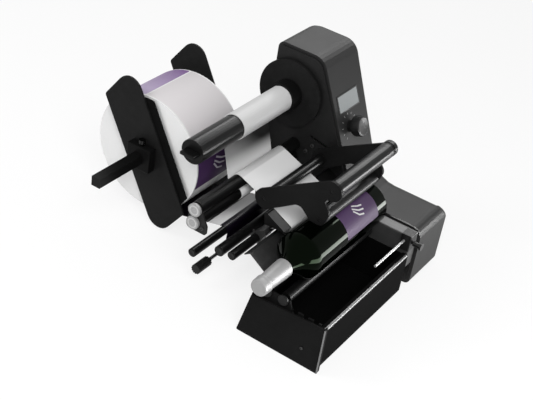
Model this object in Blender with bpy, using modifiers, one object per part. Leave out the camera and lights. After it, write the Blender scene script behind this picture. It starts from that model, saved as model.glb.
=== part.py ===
"""Bench-top bottle labelling machine, loaded with a label roll and a wine bottle.

All lengths are in metres, +Z up.  The machine frame has its X along the rollers, from the outer
end of the bottle tray (0) towards the housing, and its Y from the front of the housing (0) to
the back.  The origin of the model is the bottom centre of the whole machine.
"""
import math

import bmesh
import bpy
from mathutils import Matrix, Vector

for leftover in list(bpy.data.objects):
    bpy.data.objects.remove(leftover, do_unlink=True)

# Clearances and cutting
fit_gap = 0.0003
cut_overrun = 0.002
weld_distance = 0.00001
arc_step = math.radians(15.0)
round_steps = 28
small_round_steps = 20

# Housing: an L shaped body with a tower at the back and a low deck in front
plate_face_x = 0.2695
side_plate_thickness = 0.0032
side_plate_inset = 0.0045
housing_thickness = 0.093
housing_depth = 0.300
housing_height = 0.312
housing_wall = 0.0065
deck_height = 0.1075
tower_foot_y = 0.127
tower_top_front_y = 0.2176
deck_nose_radius = 0.0185
tower_fillet_radius = 0.050
tower_brow_radius = 0.026
tower_back_radius = 0.0115
tower_corner_radius = 0.028
housing_foot_radius = 0.0095
deck_edge_radius = 0.022
front_edge_radius = 0.0055
tower_edge_radius = 0.0015
edge_fade_height = 0.1075
edge_fade_power = 1.5
edge_segments = 5
foot_height = 0.002
foot_radius = 0.008
foot_margin = 0.018

# Slot in the side plate above the peel bar
slot_radius = 0.002
slot_y = 0.200
slot_z = 0.175
slot_half_length = 0.0153
slot_rise = 0.003

# Display and turning knob on the sloping front of the tower
display_width = 0.057
display_height = 0.026
display_thickness = 0.0018
display_proud = 0.0005
display_x = 0.3132
display_z = 0.2397
knob_x = 0.3047
knob_z = 0.2033
knob_radius = 0.0165
knob_neck_radius = 0.011
knob_length = 0.033
knob_neck_length = 0.010
knob_spindle_radius = 0.003
knob_spindle_reach = 0.006

# Mains inlet and rocker switch on the back of the housing
inlet_width = 0.027
inlet_height = 0.022
inlet_depth = 0.016
inlet_lip = 0.0015
inlet_wall = 0.003
inlet_x = 0.300
blade_width = 0.004
blade_thickness = 0.0015
blade_share = (-0.22, 0.0, 0.22)
blade_lift_share = (-0.1, 0.1, -0.1)
inlet_z = 0.045
switch_width = 0.013
switch_height = 0.021
switch_x = 0.3258

# Drives and control board inside the housing
shaft_radius = 0.004
motor_engagement = 0.014
drive_motor_radius = 0.0155
drive_motor_length = 0.058
rewind_motor_radius = 0.021
rewind_motor_length = 0.052
cradle_motor_radius = 0.0135
cradle_motor_length = 0.050
board_width = 0.070
board_height = 0.100
board_thickness = 0.0016
board_y = 0.225
board_z = 0.075
board_post_radius = 0.003
board_post_length = 0.008
board_post_share = 0.42

# Paper web: the label strip, the bare liner and the roll of labels
web_near_x = 0.115
web_width = 0.115
web_thickness = 0.0005
label_roll_radius = 0.097
core_outer_radius = 0.041
core_wall = 0.003
core_overhang = 0.002
supply_y = 0.411
supply_z = 0.125

# Square supply bar with two guide plates
bar_side = 0.016
bar_outer_x = -0.006
bar_end_x = 0.290
guide_thickness = 0.003
guide_half_width = 0.038
guide_shoulder = 0.105
guide_tip = 0.1395
guide_tip_radius = 0.024
guide_shoulder_radius = 0.006
guide_tilt = math.radians(30.0)
near_guide_x = 0.107
far_guide_x = 0.2685
clamp_width = 0.044
clamp_height = 0.040
clamp_depth = 0.016
thumb_shank_radius = 0.003
thumb_head_radius = 0.0055
thumb_head_length = 0.006
thumb_stem_length = 0.004
supply_arm_x = 0.276
supply_arm_thickness = 0.008
supply_arm_height = 0.034
supply_arm_foot = 0.060
supply_arm_foot_height = 0.062

# Rewinder
rewind_y = 0.262
rewind_z = 0.238
mandrel_radius = 0.019
mandrel_outer_x = 0.017
rewind_hub_radius = 0.024
flange_radius = 0.055
flange_thickness = 0.004
flange_x = 0.262
liner_wind_thickness = 0.0013
liner_wind_overhang = 0.008
key_width = 0.024
key_thickness = 0.005
key_length = 0.100
key_tab_length = 0.014

# Nip rollers that pull the liner
nip_radius = 0.0105
nip_y = 0.2412
nip_z = 0.1538
nip_lower_y = 0.242
nip_outer_x = 0.0075
nip_cap_thickness = 0.004
nip_cap_wall = 0.001
nip_neck_radius = 0.004
link_thickness = 0.003
link_foot_y = 0.2235
link_foot_z = 0.1225
link_front_z = 0.1315
link_heel_y = 0.2475
link_heel_z = 0.1255
link_corner_radius = 0.0045
link_heel_radius = 0.0075
link_tongue_radius = 0.0094

# Cantilevered rods and idle rollers under the web
rod_outer_x = 0.036
lower_rod_y = 0.254
lower_rod_z = 0.056
lower_rod_radius = 0.007
turn_roller_y = 0.2078
turn_roller_z = 0.0838
turn_roller_radius = 0.0083
sensor_rod_y = 0.186
sensor_rod_z = 0.087
sensor_rod_radius = 0.007
brake_rod_y = 0.244
brake_rod_z = 0.030
brake_rod_radius = 0.003
brake_knob_radius = 0.008
brake_knob_length = 0.030
brake_knob_flutes = 12
flute_radius = 0.0011
flute_phase = 0.4

# Peel bar
peel_outer_x = 0.097
peel_tip_y = 0.1405
peel_tip_z = 0.121
peel_tip_radius = 0.001
peel_crest_y = 0.1737
peel_crest_z = 0.1339
peel_crest_radius = 0.004
peel_heel_y = 0.1735
peel_heel_z = 0.1208
peel_heel_radius = 0.002

# Label sensor that straddles the near edge of the web
sensor_outer_x = 0.098
sensor_collar_length = 0.014
sensor_jaw_length = 0.012
sensor_collar_radius = 0.0095
sensor_distance = 0.014
sensor_half_length = 0.006
sensor_half_height = 0.004
sensor_corner_radius = 0.002
sensor_slot_height = 0.003
sensor_hollow_y = 0.1728
sensor_hollow_z = 0.0885
sensor_hollow_radius = 0.0032

# Apron below the peel bar
apron_outer_x = 0.050
apron_thickness = 0.0015
apron_foot_y = 0.1275
apron_foot_z = 0.0725
apron_crest_y = 0.164
apron_crest_z = 0.096
apron_tail_y = 0.1735
apron_tail_z = 0.0895
apron_bend_radius = 0.002

# Pressing arms
arm_outer_x = 0.090
arm_thickness = 0.005
arm_far_x = 0.244
arm_edge_bevel = 0.0006
pivot_y = 0.1785
pivot_z = 0.165
pivot_lobe_radius = 0.016
pivot_shaft_radius = 0.006
pivot_sleeve_radius = 0.009
pivot_shaft_inset = 0.010
handle_y = 0.075
handle_z = 0.2285
handle_lobe_radius = 0.0155
handle_far_lobe_radius = 0.0118
handle_radius = 0.0124
handle_neck_radius = 0.008
handle_end_x = 0.257
press_y = 0.0865
press_radius = 0.0098
press_lobe_radius = 0.0093
press_journal_radius = 0.003
arm_journal_inset = 0.0005
arm_cheek_y = 0.084
arm_cheek_z = 0.189
arm_cheek_radius = 0.011
arm_toe_y = 0.098
arm_toe_z = 0.174
arm_toe_radius = 0.0072
arm_notch_y = 0.0776
arm_notch_z = 0.2075
arm_notch_radius = 0.005
arm_crook_y = 0.122
arm_crook_z = 0.170
arm_crook_radius = 0.012

# Wine bottle
bottle_y = 0.0896
bottle_z = 0.1289
bottle_radius = 0.0369
bottle_length = 0.2893
bottle_shoulder_start = 0.186
bottle_shoulder_length = 0.040
bottle_shoulder_steps = 14
bottle_steps = 64
bottle_neck_radius = 0.0132
bottle_foot_rounding = 0.003
bottle_punt_depth = 0.006
bottle_punt_radius = 0.026
capsule_length = 0.062
capsule_wall = 0.0009

# Bottle cradle: tray, end plate, bracket, head and rollers
end_plate_thickness = 0.003
end_plate_front_height = 0.080
end_plate_back_height = 0.073
end_plate_depth = 0.139
end_plate_top_depth = 0.123
end_plate_corner_radius = 0.002
end_plate_hole_radius = 0.003
end_plate_hole_y = 0.030
end_plate_hole_z = 0.030
end_flange_width = 0.008
end_flange_thickness = 0.002
tray_wall = 0.002
tray_bottom_z = 0.002
tray_front_height = 0.074
tray_rear_height = 0.074
tray_rear_foot_y = 0.132
tray_rear_top_y = 0.124
tray_lip = 0.009
tray_bend_radius = 0.003
tray_end_wall = 0.002
cradle_roller_radius = 0.0085
cradle_half_spread = 0.0138
cradle_outer_x = 0.014
cradle_inner_x = 0.242
cradle_neck_radius = 0.004
cradle_journal_depth = 0.010
bracket_thickness = 0.003
bracket_x = 0.0085
bracket_front_height = 0.077
bracket_rear_height = 0.0885
bracket_front_y = 0.0122
bracket_rear_y = 0.1185
bracket_step_y = 0.0655
bracket_step_run = 0.004
bracket_notch_pitch = 0.017
bracket_notch_depth = 0.008
bracket_notch_radius = 0.004
bracket_notches = 3
bracket_side_margin = 0.0005
head_near_x = 0.2463
head_front_y = 0.004
head_rear_y = 0.116
head_bottom_z = 0.046
head_top_z = 0.105
head_edge_radius = 0.002
stop_rod_radius = 0.002
stop_rod_y = 0.014
stop_rod_z = 0.0965
stop_rod_outer_x = 0.155
stop_rod_inner_x = 0.318
stop_block_outer_x = 0.243
stop_block_inner_x = 0.262
stop_block_front_y = 0.003
stop_block_rear_y = 0.020
stop_block_bottom_z = 0.080
stop_block_top_z = 0.108
stop_block_edge = 0.001
stop_screw_x = 0.252
stop_screw_z = 0.0935
stop_screw_radius = 0.0025
stop_screw_grip_radius = 0.0042
stop_screw_disc_radius = 0.0062
stop_screw_disc_thickness = 0.003
stop_screw_neck = 0.002
stop_screw_length = 0.0165

# Places that follow from the sizes above
cover_near_x = plate_face_x + side_plate_thickness + fit_gap
cover_far_x = cover_near_x + housing_thickness
rod_root_x = plate_face_x - fit_gap
web_far_x = web_near_x + web_width
mandrel_inner_x = web_far_x + liner_wind_overhang + fit_gap
bottle_base_x = head_near_x - fit_gap
bottle_mouth_x = bottle_base_x - bottle_length
machine_left = bottle_mouth_x - fit_gap - capsule_wall
machine_front = stop_block_front_y - stop_screw_length
machine_back = supply_y + label_roll_radius
origin_x = (machine_left + cover_far_x) / 2.0
origin_y = (machine_front + machine_back) / 2.0
slope_run = tower_top_front_y - tower_foot_y
slope_rise = housing_height - deck_height
slope_angle = math.atan2(slope_rise, slope_run)
panel_normal = Vector((0.0, -math.sin(slope_angle), math.cos(slope_angle)))
panel_up = Vector((0.0, math.cos(slope_angle), math.sin(slope_angle)))
web_lift = fit_gap + web_thickness / 2.0
nip_reach = 2.0 * (nip_radius + web_lift)
nip_lower_z = nip_z - math.sqrt(nip_reach ** 2 - (nip_lower_y - nip_y) ** 2)
wind_outer_radius = mandrel_radius + fit_gap + liner_wind_thickness
press_reach = bottle_radius + press_radius + fit_gap
press_z = bottle_z + math.sqrt(press_reach ** 2 - (press_y - bottle_y) ** 2)
cradle_reach = bottle_radius + cradle_roller_radius + fit_gap
cradle_roller_z = bottle_z - math.sqrt(cradle_reach ** 2 - cradle_half_spread ** 2)
cradle_front_y = bottle_y - cradle_half_spread
cradle_rear_y = bottle_y + cradle_half_spread
tray_front_y = end_flange_thickness + 2.0 * fit_gap
shaft_end_x = cover_near_x + motor_engagement
x_direction = Vector((1.0, 0.0, 0.0))
along_x = Matrix(((0.0, 0.0, 1.0), (1.0, 0.0, 0.0), (0.0, 1.0, 0.0)))
upright = Matrix.Identity(3)
on_panel = Matrix((x_direction, panel_up, panel_normal)).transposed()

parts = bpy.data.collections.new("bottle_labelling_machine")
cutters = bpy.data.collections.new("cutters")
bpy.context.scene.collection.children.link(parts)
bpy.context.scene.collection.children.link(cutters)


def new_material(name, colour, roughness, metallic=0.0):
    """Principled material with a base colour, a roughness and a metallic value."""
    material = bpy.data.materials.new(name)
    material.use_nodes = True
    shader = material.node_tree.nodes["Principled BSDF"]
    shader.inputs["Base Color"].default_value = (*colour, 1.0)
    shader.inputs["Roughness"].default_value = roughness
    shader.inputs["Metallic"].default_value = metallic
    return material


cover_black = new_material("cover_black", (0.030, 0.030, 0.031), 0.45)
plate_black = new_material("plate_black", (0.022, 0.022, 0.023), 0.55)
arm_black = new_material("arm_black", (0.035, 0.035, 0.036), 0.60)
roller_black = new_material("roller_black", (0.012, 0.012, 0.013), 0.30)
rubber_black = new_material("rubber_black", (0.010, 0.010, 0.010), 0.75)
bare_aluminium = new_material("bare_aluminium", (0.70, 0.70, 0.70), 0.35, 1.0)
steel = new_material("steel", (0.62, 0.62, 0.63), 0.25, 1.0)
display_grey = new_material("display_grey", (0.42, 0.44, 0.45), 0.30)
paper_white = new_material("paper_white", (0.84, 0.84, 0.84), 0.70)
board_green = new_material("board_green", (0.02, 0.16, 0.06), 0.50)
glass_dark = new_material("glass_dark", (0.010, 0.022, 0.012), 0.08)
capsule_silver = new_material("capsule_silver", (0.66, 0.66, 0.66), 0.35, 0.8)


def turn_points(corner, before, after, radius):
    """Points of the arc that rounds one corner of a polygon."""
    to_before = (before - corner).normalized()
    to_after = (after - corner).normalized()
    half = math.acos(max(-1.0, min(1.0, to_before.dot(to_after)))) / 2.0
    reach = radius / math.tan(half)
    centre = corner + (to_before + to_after).normalized() * (radius / math.sin(half))
    start = corner + to_before * reach - centre
    end = corner + to_after * reach - centre
    sweep = start.angle_signed(end)
    count = max(2, math.ceil(abs(sweep) / arc_step))
    return [centre + Matrix.Rotation(-sweep * i / count, 2) @ start for i in range(count + 1)]


def rounded(corners, closed=True):
    """Outline through corners given as (y, z, radius), with each corner rounded."""
    spots = [Vector(corner[:2]) for corner in corners]
    outline = []
    for index, corner in enumerate(corners):
        at_end = not closed and index in (0, len(corners) - 1)
        if at_end or corner[2] == 0:
            outline.append(spots[index])
            continue
        before = spots[index - 1]
        after = spots[(index + 1) % len(spots)]
        outline.extend(turn_points(spots[index], before, after, corner[2]))
    return outline


def belt(circles, closed=True):
    """Line pulled tight round circles (y, z, radius, turn), turn being 1 left or -1 right."""
    pairs = list(zip(circles, circles[1:] + circles[:1]))
    if not closed:
        pairs = pairs[:-1]
    headings = []
    for first, second in pairs:
        span = Vector(second[:2]) - Vector(first[:2])
        lean = (second[3] * second[2] - first[3] * first[2]) / span.length
        headings.append(math.atan2(span.y, span.x) - math.asin(max(-1.0, min(1.0, lean))))

    def point(circle, heading):
        offset = circle[3] * circle[2]
        return Vector((circle[0] + offset * math.sin(heading), circle[1] - offset * math.cos(heading)))

    line = []
    for index, circle in enumerate(circles):
        if not closed and index == 0:
            line.append(point(circle, headings[0]))
            continue
        if not closed and index == len(circles) - 1:
            line.append(point(circle, headings[-1]))
            continue
        arriving = headings[index - 1]
        sweep = ((headings[index] - arriving) * circle[3]) % math.tau
        count = max(1, math.ceil(sweep / arc_step))
        for step in range(count + 1):
            line.append(point(circle, arriving + circle[3] * sweep * step / count))
    return line


def strip(line, thickness):
    """Closed outline of a sheet whose middle follows an open line."""
    left = []
    right = []
    for index, spot in enumerate(line):
        before = line[max(index - 1, 0)]
        after = line[min(index + 1, len(line) - 1)]
        first = (spot - before).normalized() if index else (after - spot).normalized()
        second = (after - spot).normalized() if index < len(line) - 1 else first
        middle = (first + second).normalized()
        normal = Vector((-middle.y, middle.x))
        reach = thickness / 2.0 / max(middle.dot(first), 0.5)
        left.append(spot + normal * reach)
        right.append(spot - normal * reach)
    return left + right[::-1]


def inset(outline, distance):
    """Outline moved inwards by a distance; the outline turns left."""
    moved = []
    count = len(outline)
    for index, spot in enumerate(outline):
        first = (spot - outline[index - 1]).normalized()
        second = (outline[(index + 1) % count] - spot).normalized()
        middle = (first + second).normalized()
        normal = Vector((-middle.y, middle.x))
        moved.append(spot + normal * distance / max(middle.dot(first), 0.5))
    return moved


def enlist(item, material=None, cutter=False):
    """Put an object in its collection, with its material."""
    (cutters if cutter else parts).objects.link(item)
    if cutter:
        item.hide_render = True
        item.display_type = "WIRE"
    if material:
        item.data.materials.clear()
        item.data.materials.append(material)
    return item


def spot(x, y, z):
    """World place of a point of the machine frame."""
    return Vector((x - origin_x, y - origin_y, z))


def lay(item, x, y, z, turn=along_x):
    """Stand an object at a machine place; its own Z runs along machine X unless turned."""
    item.matrix_world = Matrix.Translation(spot(x, y, z)) @ turn.to_4x4()
    return item


def outline_mesh(name, outline, thickness):
    """Mesh of a flat outline, extruded along its own Z from 0 to the thickness."""
    curve = bpy.data.curves.new(name, "CURVE")
    curve.dimensions = "2D"
    curve.fill_mode = "BOTH"
    curve.extrude = thickness / 2.0
    spline = curve.splines.new("POLY")
    spline.points.add(len(outline) - 1)
    for point, place in zip(spline.points, outline):
        point.co = (place.x, place.y, 0.0, 1.0)
    spline.use_cyclic_u = True
    holder = bpy.data.objects.new(name, curve)
    parts.objects.link(holder)
    bpy.context.view_layer.update()
    evaluated = holder.evaluated_get(bpy.context.evaluated_depsgraph_get())
    mesh = bpy.data.meshes.new_from_object(evaluated)
    bpy.data.objects.remove(holder, do_unlink=True)
    bpy.data.curves.remove(curve)
    shape = bmesh.new()
    shape.from_mesh(mesh)
    bmesh.ops.remove_doubles(shape, verts=shape.verts, dist=weld_distance)
    bmesh.ops.recalc_face_normals(shape, faces=shape.faces)
    bmesh.ops.translate(shape, verts=shape.verts, vec=(0.0, 0.0, thickness / 2.0))
    shape.to_mesh(mesh)
    shape.free()
    mesh.name = name
    return mesh


def slab(name, outline, near_x, far_x, material=None, hub=None, cutter=False):
    """Outline in machine Y and Z, extruded from near_x to far_x, with its origin at the hub."""
    hub = Vector(hub) if hub else Vector((0.0, 0.0))
    local = [place - hub for place in outline]
    item = bpy.data.objects.new(name, outline_mesh(name, local, far_x - near_x))
    return lay(enlist(item, material, cutter), near_x, hub.x, hub.y)


def turned(name, profile, place, material=None, closed=False, steps=round_steps, cutter=False, turn=along_x):
    """Profile of (distance along the axis, radius) turned about the axis through a machine place."""
    mesh = bpy.data.meshes.new(name)
    rim = [(radius, 0.0, distance) for distance, radius in reversed(profile)]
    links = [(i, i + 1) for i in range(len(rim) - 1)]
    if closed:
        links.append((len(rim) - 1, 0))
    mesh.from_pydata(rim, links, [])
    item = bpy.data.objects.new(name, mesh)
    enlist(item, material, cutter)
    screw = item.modifiers.new("turn", "SCREW")
    screw.axis = "Z"
    screw.steps = steps
    screw.render_steps = steps
    screw.use_merge_vertices = True
    screw.merge_threshold = weld_distance
    screw.use_smooth_shade = False
    return lay(item, *place, turn)


def block(name, low, high, material=None, cutter=False):
    """Box between two machine corners."""
    size = Vector(high) - Vector(low)
    shape = bmesh.new()
    bmesh.ops.create_cube(shape, size=1.0)
    bmesh.ops.scale(shape, vec=size, verts=shape.verts)
    mesh = bpy.data.meshes.new(name)
    shape.to_mesh(mesh)
    shape.free()
    item = bpy.data.objects.new(name, mesh)
    enlist(item, material, cutter)
    centre = (Vector(low) + Vector(high)) / 2.0
    item.matrix_world = Matrix.Translation(spot(*centre))
    return item


def rod(name, radius, near_x, far_x, y, z, material=None, cutter=False, steps=small_round_steps):
    """Plain cylinder along machine X."""
    length = far_x - near_x
    profile = [(0.0, 0.0), (0.0, radius), (length, radius), (length, 0.0)]
    return turned(name, profile, (near_x, y, z), material, steps=steps, cutter=cutter)


def drill(item, radius, near_x, far_x, y, z):
    """Round hole along machine X through an object."""
    return combine(item, rod(item.name + "_hole", radius, near_x, far_x, y, z, cutter=True))


def combine(item, other, operation="DIFFERENCE"):
    """Boolean of an object with a cutter or with a piece that joins it."""
    change = item.modifiers.new(operation.lower(), "BOOLEAN")
    change.operation = operation
    change.object = other
    change.solver = "EXACT"
    return item


def soften(item, width, segments=2, angle=math.radians(40.0)):
    """Round the sharp edges of an object."""
    edge = item.modifiers.new("edges", "BEVEL")
    edge.width = width
    edge.segments = segments
    edge.limit_method = "ANGLE"
    edge.angle_limit = angle
    return item


def relief(item, low, high):
    """Cut the box between two machine corners out of an object."""
    return combine(item, block(item.name + "_relief", low, high, cutter=True))


def joined(item, other):
    """Join another solid to an object and keep it as one piece."""
    cutters.objects.link(other)
    parts.objects.unlink(other)
    other.hide_render = True
    other.display_type = "WIRE"
    return combine(item, other, "UNION")


# Housing cover: a shell with a wide round edge along the deck and a round corner at the back
cover_corners = [
    (0.0, foot_height, housing_foot_radius),
    (housing_depth, foot_height, housing_foot_radius),
    (housing_depth, housing_height, tower_back_radius),
    (tower_top_front_y, housing_height, tower_brow_radius),
    (tower_foot_y, deck_height, tower_fillet_radius),
    (0.0, deck_height, deck_nose_radius),
]


def cover_ring(distance=0.0):
    """Outline of the housing moved inwards, with its round corners kept parallel."""
    places = inset([Vector(corner[:2]) for corner in cover_corners], distance)
    ring = []
    for index, (place, corner) in enumerate(zip(places, cover_corners)):
        arriving = place - places[index - 1]
        leaving = places[(index + 1) % len(places)] - place
        hollow = arriving.cross(leaving) < 0.0
        radius = corner[2] + distance if hollow else max(corner[2] - distance, 0.0)
        ring.append((*place, radius))
    return rounded(ring)


def edge_radius(place):
    """Rounding of the far edge: wide along the deck, fading up the tower and down the front."""
    if place.y > deck_height:
        share = min(1.0, (place.y - deck_height) / edge_fade_height)
        wide = (1.0 - share) ** edge_fade_power if place.x < tower_top_front_y else 0.0
        return tower_edge_radius + (deck_edge_radius - tower_edge_radius) * wide
    if place.x > tower_foot_y:
        return tower_edge_radius
    rise = max(0.0, 1.0 - (deck_height - place.y) / deck_nose_radius)
    widest = min(deck_edge_radius, max(place.x, deck_nose_radius))
    return front_edge_radius + (widest - front_edge_radius) * rise


def shell_blank(name, outline, near_x, far_x, wall, material=None, cutter=False):
    """Outline extruded along X, with its far edge rounded by an amount that changes on the way."""
    count = len(outline)
    inward = [inner - outer for inner, outer in zip(inset(outline, 1.0), outline)]
    radii = [max(edge_radius(place) - wall, fit_gap) for place in outline]
    shape = bmesh.new()
    rings = [[shape.verts.new((place.x, place.y, 0.0)) for place in outline]]
    for segment in range(edge_segments + 1):
        angle = math.pi / 2.0 * segment / edge_segments
        ring = []
        for place, way, radius in zip(outline, inward, radii):
            moved = place + way * radius * (1.0 - math.cos(angle))
            depth = far_x - near_x - radius * (1.0 - math.sin(angle))
            ring.append(shape.verts.new((moved.x, moved.y, depth)))
        rings.append(ring)
    for first, second in zip(rings, rings[1:]):
        for index in range(count):
            after = (index + 1) % count
            shape.faces.new((first[index], first[after], second[after], second[index]))
    caps = [shape.faces.new(rings[0][::-1]), shape.faces.new(rings[-1])]
    bmesh.ops.recalc_face_normals(shape, faces=shape.faces)
    bmesh.ops.triangulate(shape, faces=caps, ngon_method="EAR_CLIP")
    mesh = bpy.data.meshes.new(name)
    shape.to_mesh(mesh)
    shape.free()
    item = bpy.data.objects.new(name, mesh)
    return lay(enlist(item, material, cutter), near_x, 0.0, 0.0)


def round_back_corner(item, far_x, back_y, radius):
    """Round the upright corner between the back and the far side, seen from above."""
    arc = turn_points(Vector((far_x, back_y)), Vector((far_x - radius, back_y)), Vector((far_x, 0.0)), radius)
    waste = arc + [
        Vector((far_x + cut_overrun, back_y - radius)),
        Vector((far_x + cut_overrun, back_y + cut_overrun)),
        Vector((far_x - radius, back_y + cut_overrun)),
    ]
    name = item.name + "_back_corner"
    cutter = bpy.data.objects.new(name, outline_mesh(name, waste, housing_height + cut_overrun))
    lay(enlist(cutter, cutter=True), 0.0, 0.0, 0.0, upright)
    return combine(item, cutter)


cover_outline = cover_ring()
cover = shell_blank("housing_cover", cover_outline, cover_near_x, cover_far_x, 0.0, cover_black)
round_back_corner(cover, cover_far_x, housing_depth, tower_corner_radius)
cavity_far_x = cover_far_x - housing_wall
cavity = shell_blank(
    "housing_cavity",
    cover_ring(housing_wall),
    cover_near_x - cut_overrun,
    cavity_far_x,
    housing_wall,
    cutter=True,
)
round_back_corner(cavity, cavity_far_x, housing_depth - housing_wall, tower_corner_radius - housing_wall)
combine(cover, cavity)


def panel_place(x, z):
    """Machine place on the sloping front of the tower at a given height."""
    return Vector((x, tower_foot_y + (z - deck_height) * slope_run / slope_rise, z))


def panel_box(name, size, centre, material=None, cutter=False):
    """Box lying on the sloping front; size is across, up the slope and through it."""
    shape = bmesh.new()
    bmesh.ops.create_cube(shape, size=1.0)
    bmesh.ops.scale(shape, vec=size, verts=shape.verts)
    mesh = bpy.data.meshes.new(name)
    shape.to_mesh(mesh)
    shape.free()
    item = bpy.data.objects.new(name, mesh)
    enlist(item, material, cutter)
    return lay(item, *centre, on_panel)


# Display window set in the sloping front
display_depth = display_thickness - display_proud
display_spot = panel_place(display_x, display_z)
display_centre = display_spot + panel_normal * (display_proud - display_thickness / 2.0)
display_size = (display_width, display_height, display_thickness)
panel_box("display", display_size, display_centre, display_grey)
pocket_size = (
    display_width + 2.0 * fit_gap,
    display_height + 2.0 * fit_gap,
    2.0 * (display_depth + fit_gap),
)
combine(cover, panel_box("display_pocket", pocket_size, display_spot, cutter=True))

# Turning knob on a spindle through the wall
knob_spot = panel_place(knob_x, knob_z)
spindle_end = -housing_wall - knob_spindle_reach
knob_profile = [
    (spindle_end, 0.0),
    (spindle_end, knob_spindle_radius),
    (fit_gap, knob_spindle_radius),
    (fit_gap, knob_neck_radius),
    (knob_neck_length, knob_neck_radius),
    (knob_neck_length, knob_radius),
    (knob_length, knob_radius),
    (knob_length, 0.0),
]
knob = turned("encoder_knob", knob_profile, knob_spot, roller_black, turn=on_panel)
soften(knob, fit_gap)
spindle_hole_radius = knob_spindle_radius + fit_gap
spindle_hole = [
    (spindle_end, 0.0),
    (spindle_end, spindle_hole_radius),
    (cut_overrun, spindle_hole_radius),
    (cut_overrun, 0.0),
]
combine(cover, turned("spindle_hole", spindle_hole, knob_spot, cutter=True, turn=on_panel))


def socket(name, x, width, height, depth):
    """Open box set in the back wall, with a lip that rests on the outside."""
    inner = (width / 2.0, height / 2.0)
    shell = block(
        name,
        (x - inner[0], housing_depth - depth, inlet_z - inner[1]),
        (x + inner[0], housing_depth + inlet_lip, inlet_z + inner[1]),
        plate_black,
    )
    rim = block(
        name + "_lip",
        (x - inner[0] - inlet_lip, housing_depth + fit_gap, inlet_z - inner[1] - inlet_lip),
        (x + inner[0] + inlet_lip, housing_depth + inlet_lip, inlet_z + inner[1] + inlet_lip),
    )
    joined(shell, rim)
    relief(
        shell,
        (x - inner[0] + inlet_wall, housing_depth - depth + inlet_wall, inlet_z - inner[1] + inlet_wall),
        (x + inner[0] - inlet_wall, housing_depth + cut_overrun, inlet_z + inner[1] - inlet_wall),
    )
    opening = block(
        name + "_opening",
        (x - inner[0] - fit_gap, housing_depth - housing_wall - cut_overrun, inlet_z - inner[1] - fit_gap),
        (x + inner[0] + fit_gap, housing_depth + cut_overrun, inlet_z + inner[1] + fit_gap),
        cutter=True,
    )
    combine(cover, opening)
    return shell


# Mains inlet with three blades
inlet = socket("power_inlet", inlet_x, inlet_width, inlet_height, inlet_depth)
blade_root_y = housing_depth - inlet_depth + inlet_wall / 2.0
for number, (across, up) in enumerate(zip(blade_share, blade_lift_share), 1):
    blade_x = inlet_x + across * inlet_width
    blade_z = inlet_z + up * inlet_height
    blade = block(
        f"inlet_blade_{number}",
        (blade_x - blade_thickness / 2.0, blade_root_y, blade_z - blade_width / 2.0),
        (blade_x + blade_thickness / 2.0, housing_depth - inlet_lip, blade_z + blade_width / 2.0),
    )
    joined(inlet, blade)

# Rocker switch: its frame and the rocker that tilts in it
socket("switch_frame", switch_x, switch_width, switch_height, inlet_depth)
rocker_reach = switch_height / 2.0 - inlet_wall - fit_gap
rocker_half_width = switch_width / 2.0 - inlet_wall - fit_gap
rocker_shares = (
    (-0.55, 0.7),
    (-0.55, -0.7),
    (0.0, -0.95),
    (0.35, -0.90),
    (0.15, 0.0),
    (0.35, 0.90),
    (0.0, 0.95),
)
rocker_outline = [
    Vector((housing_depth + a * rocker_reach, inlet_z + b * rocker_reach)) for a, b in rocker_shares
]
slab(
    "power_switch",
    rocker_outline,
    switch_x - rocker_half_width,
    switch_x + rocker_half_width,
    roller_black,
    hub=(housing_depth, inlet_z),
)

# Side plate that closes the housing and carries every shaft
plate_outline = cover_ring(side_plate_inset)
side_plate = slab(
    "side_plate", plate_outline, plate_face_x, plate_face_x + side_plate_thickness, plate_black
)


def through_plate(y, z, radius=shaft_radius):
    """Hole in the side plate for a shaft."""
    drill(side_plate, radius + fit_gap, plate_face_x - cut_overrun, cover_near_x + cut_overrun, y, z)


def motor(name, radius, length, y, z):
    """Motor on the inside of the side plate, with a bore that takes the end of the shaft."""
    bore_end = motor_engagement + fit_gap
    bore_radius = shaft_radius + fit_gap
    profile = [
        (bore_end, 0.0),
        (bore_end, bore_radius),
        (0.0, bore_radius),
        (0.0, radius),
        (length, radius),
        (length, 0.0),
    ]
    return turned(name, profile, (cover_near_x, y, z), steel)


motor("drive_motor", drive_motor_radius, drive_motor_length, nip_lower_y, nip_lower_z)
motor("rewind_motor", rewind_motor_radius, rewind_motor_length, rewind_y, rewind_z)
motor("cradle_motor", cradle_motor_radius, cradle_motor_length, cradle_rear_y, cradle_roller_z)

# Control board on four posts, fixed to the outer wall of the housing
board_far_x = cover_far_x - housing_wall - board_post_length
board = block(
    "control_board",
    (board_far_x - board_thickness, board_y - board_width / 2.0, board_z - board_height / 2.0),
    (board_far_x, board_y + board_width / 2.0, board_z + board_height / 2.0),
    board_green,
)
for number, (across, up) in enumerate(((-1, -1), (1, -1), (1, 1), (-1, 1)), 1):
    post = rod(
        f"board_post_{number}",
        board_post_radius,
        board_far_x - board_thickness / 2.0,
        cover_far_x - housing_wall - fit_gap,
        board_y + across * board_post_share * board_width,
        board_z + up * board_post_share * board_height,
    )
    joined(board, post)

# Rubber feet
foot_x_places = (cover_near_x + foot_margin, cover_far_x - foot_margin)
foot_y_places = (foot_margin, housing_depth - foot_margin)
foot_number = 0
for foot_x in foot_x_places:
    for foot_y in foot_y_places:
        foot_number += 1
        foot_profile = [(0.0, 0.0), (0.0, foot_radius), (foot_height - fit_gap, foot_radius)]
        foot_profile.append((foot_height - fit_gap, 0.0))
        turned(f"foot_{foot_number}", foot_profile, (foot_x, foot_y, 0.0), rubber_black, turn=upright)


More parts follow.
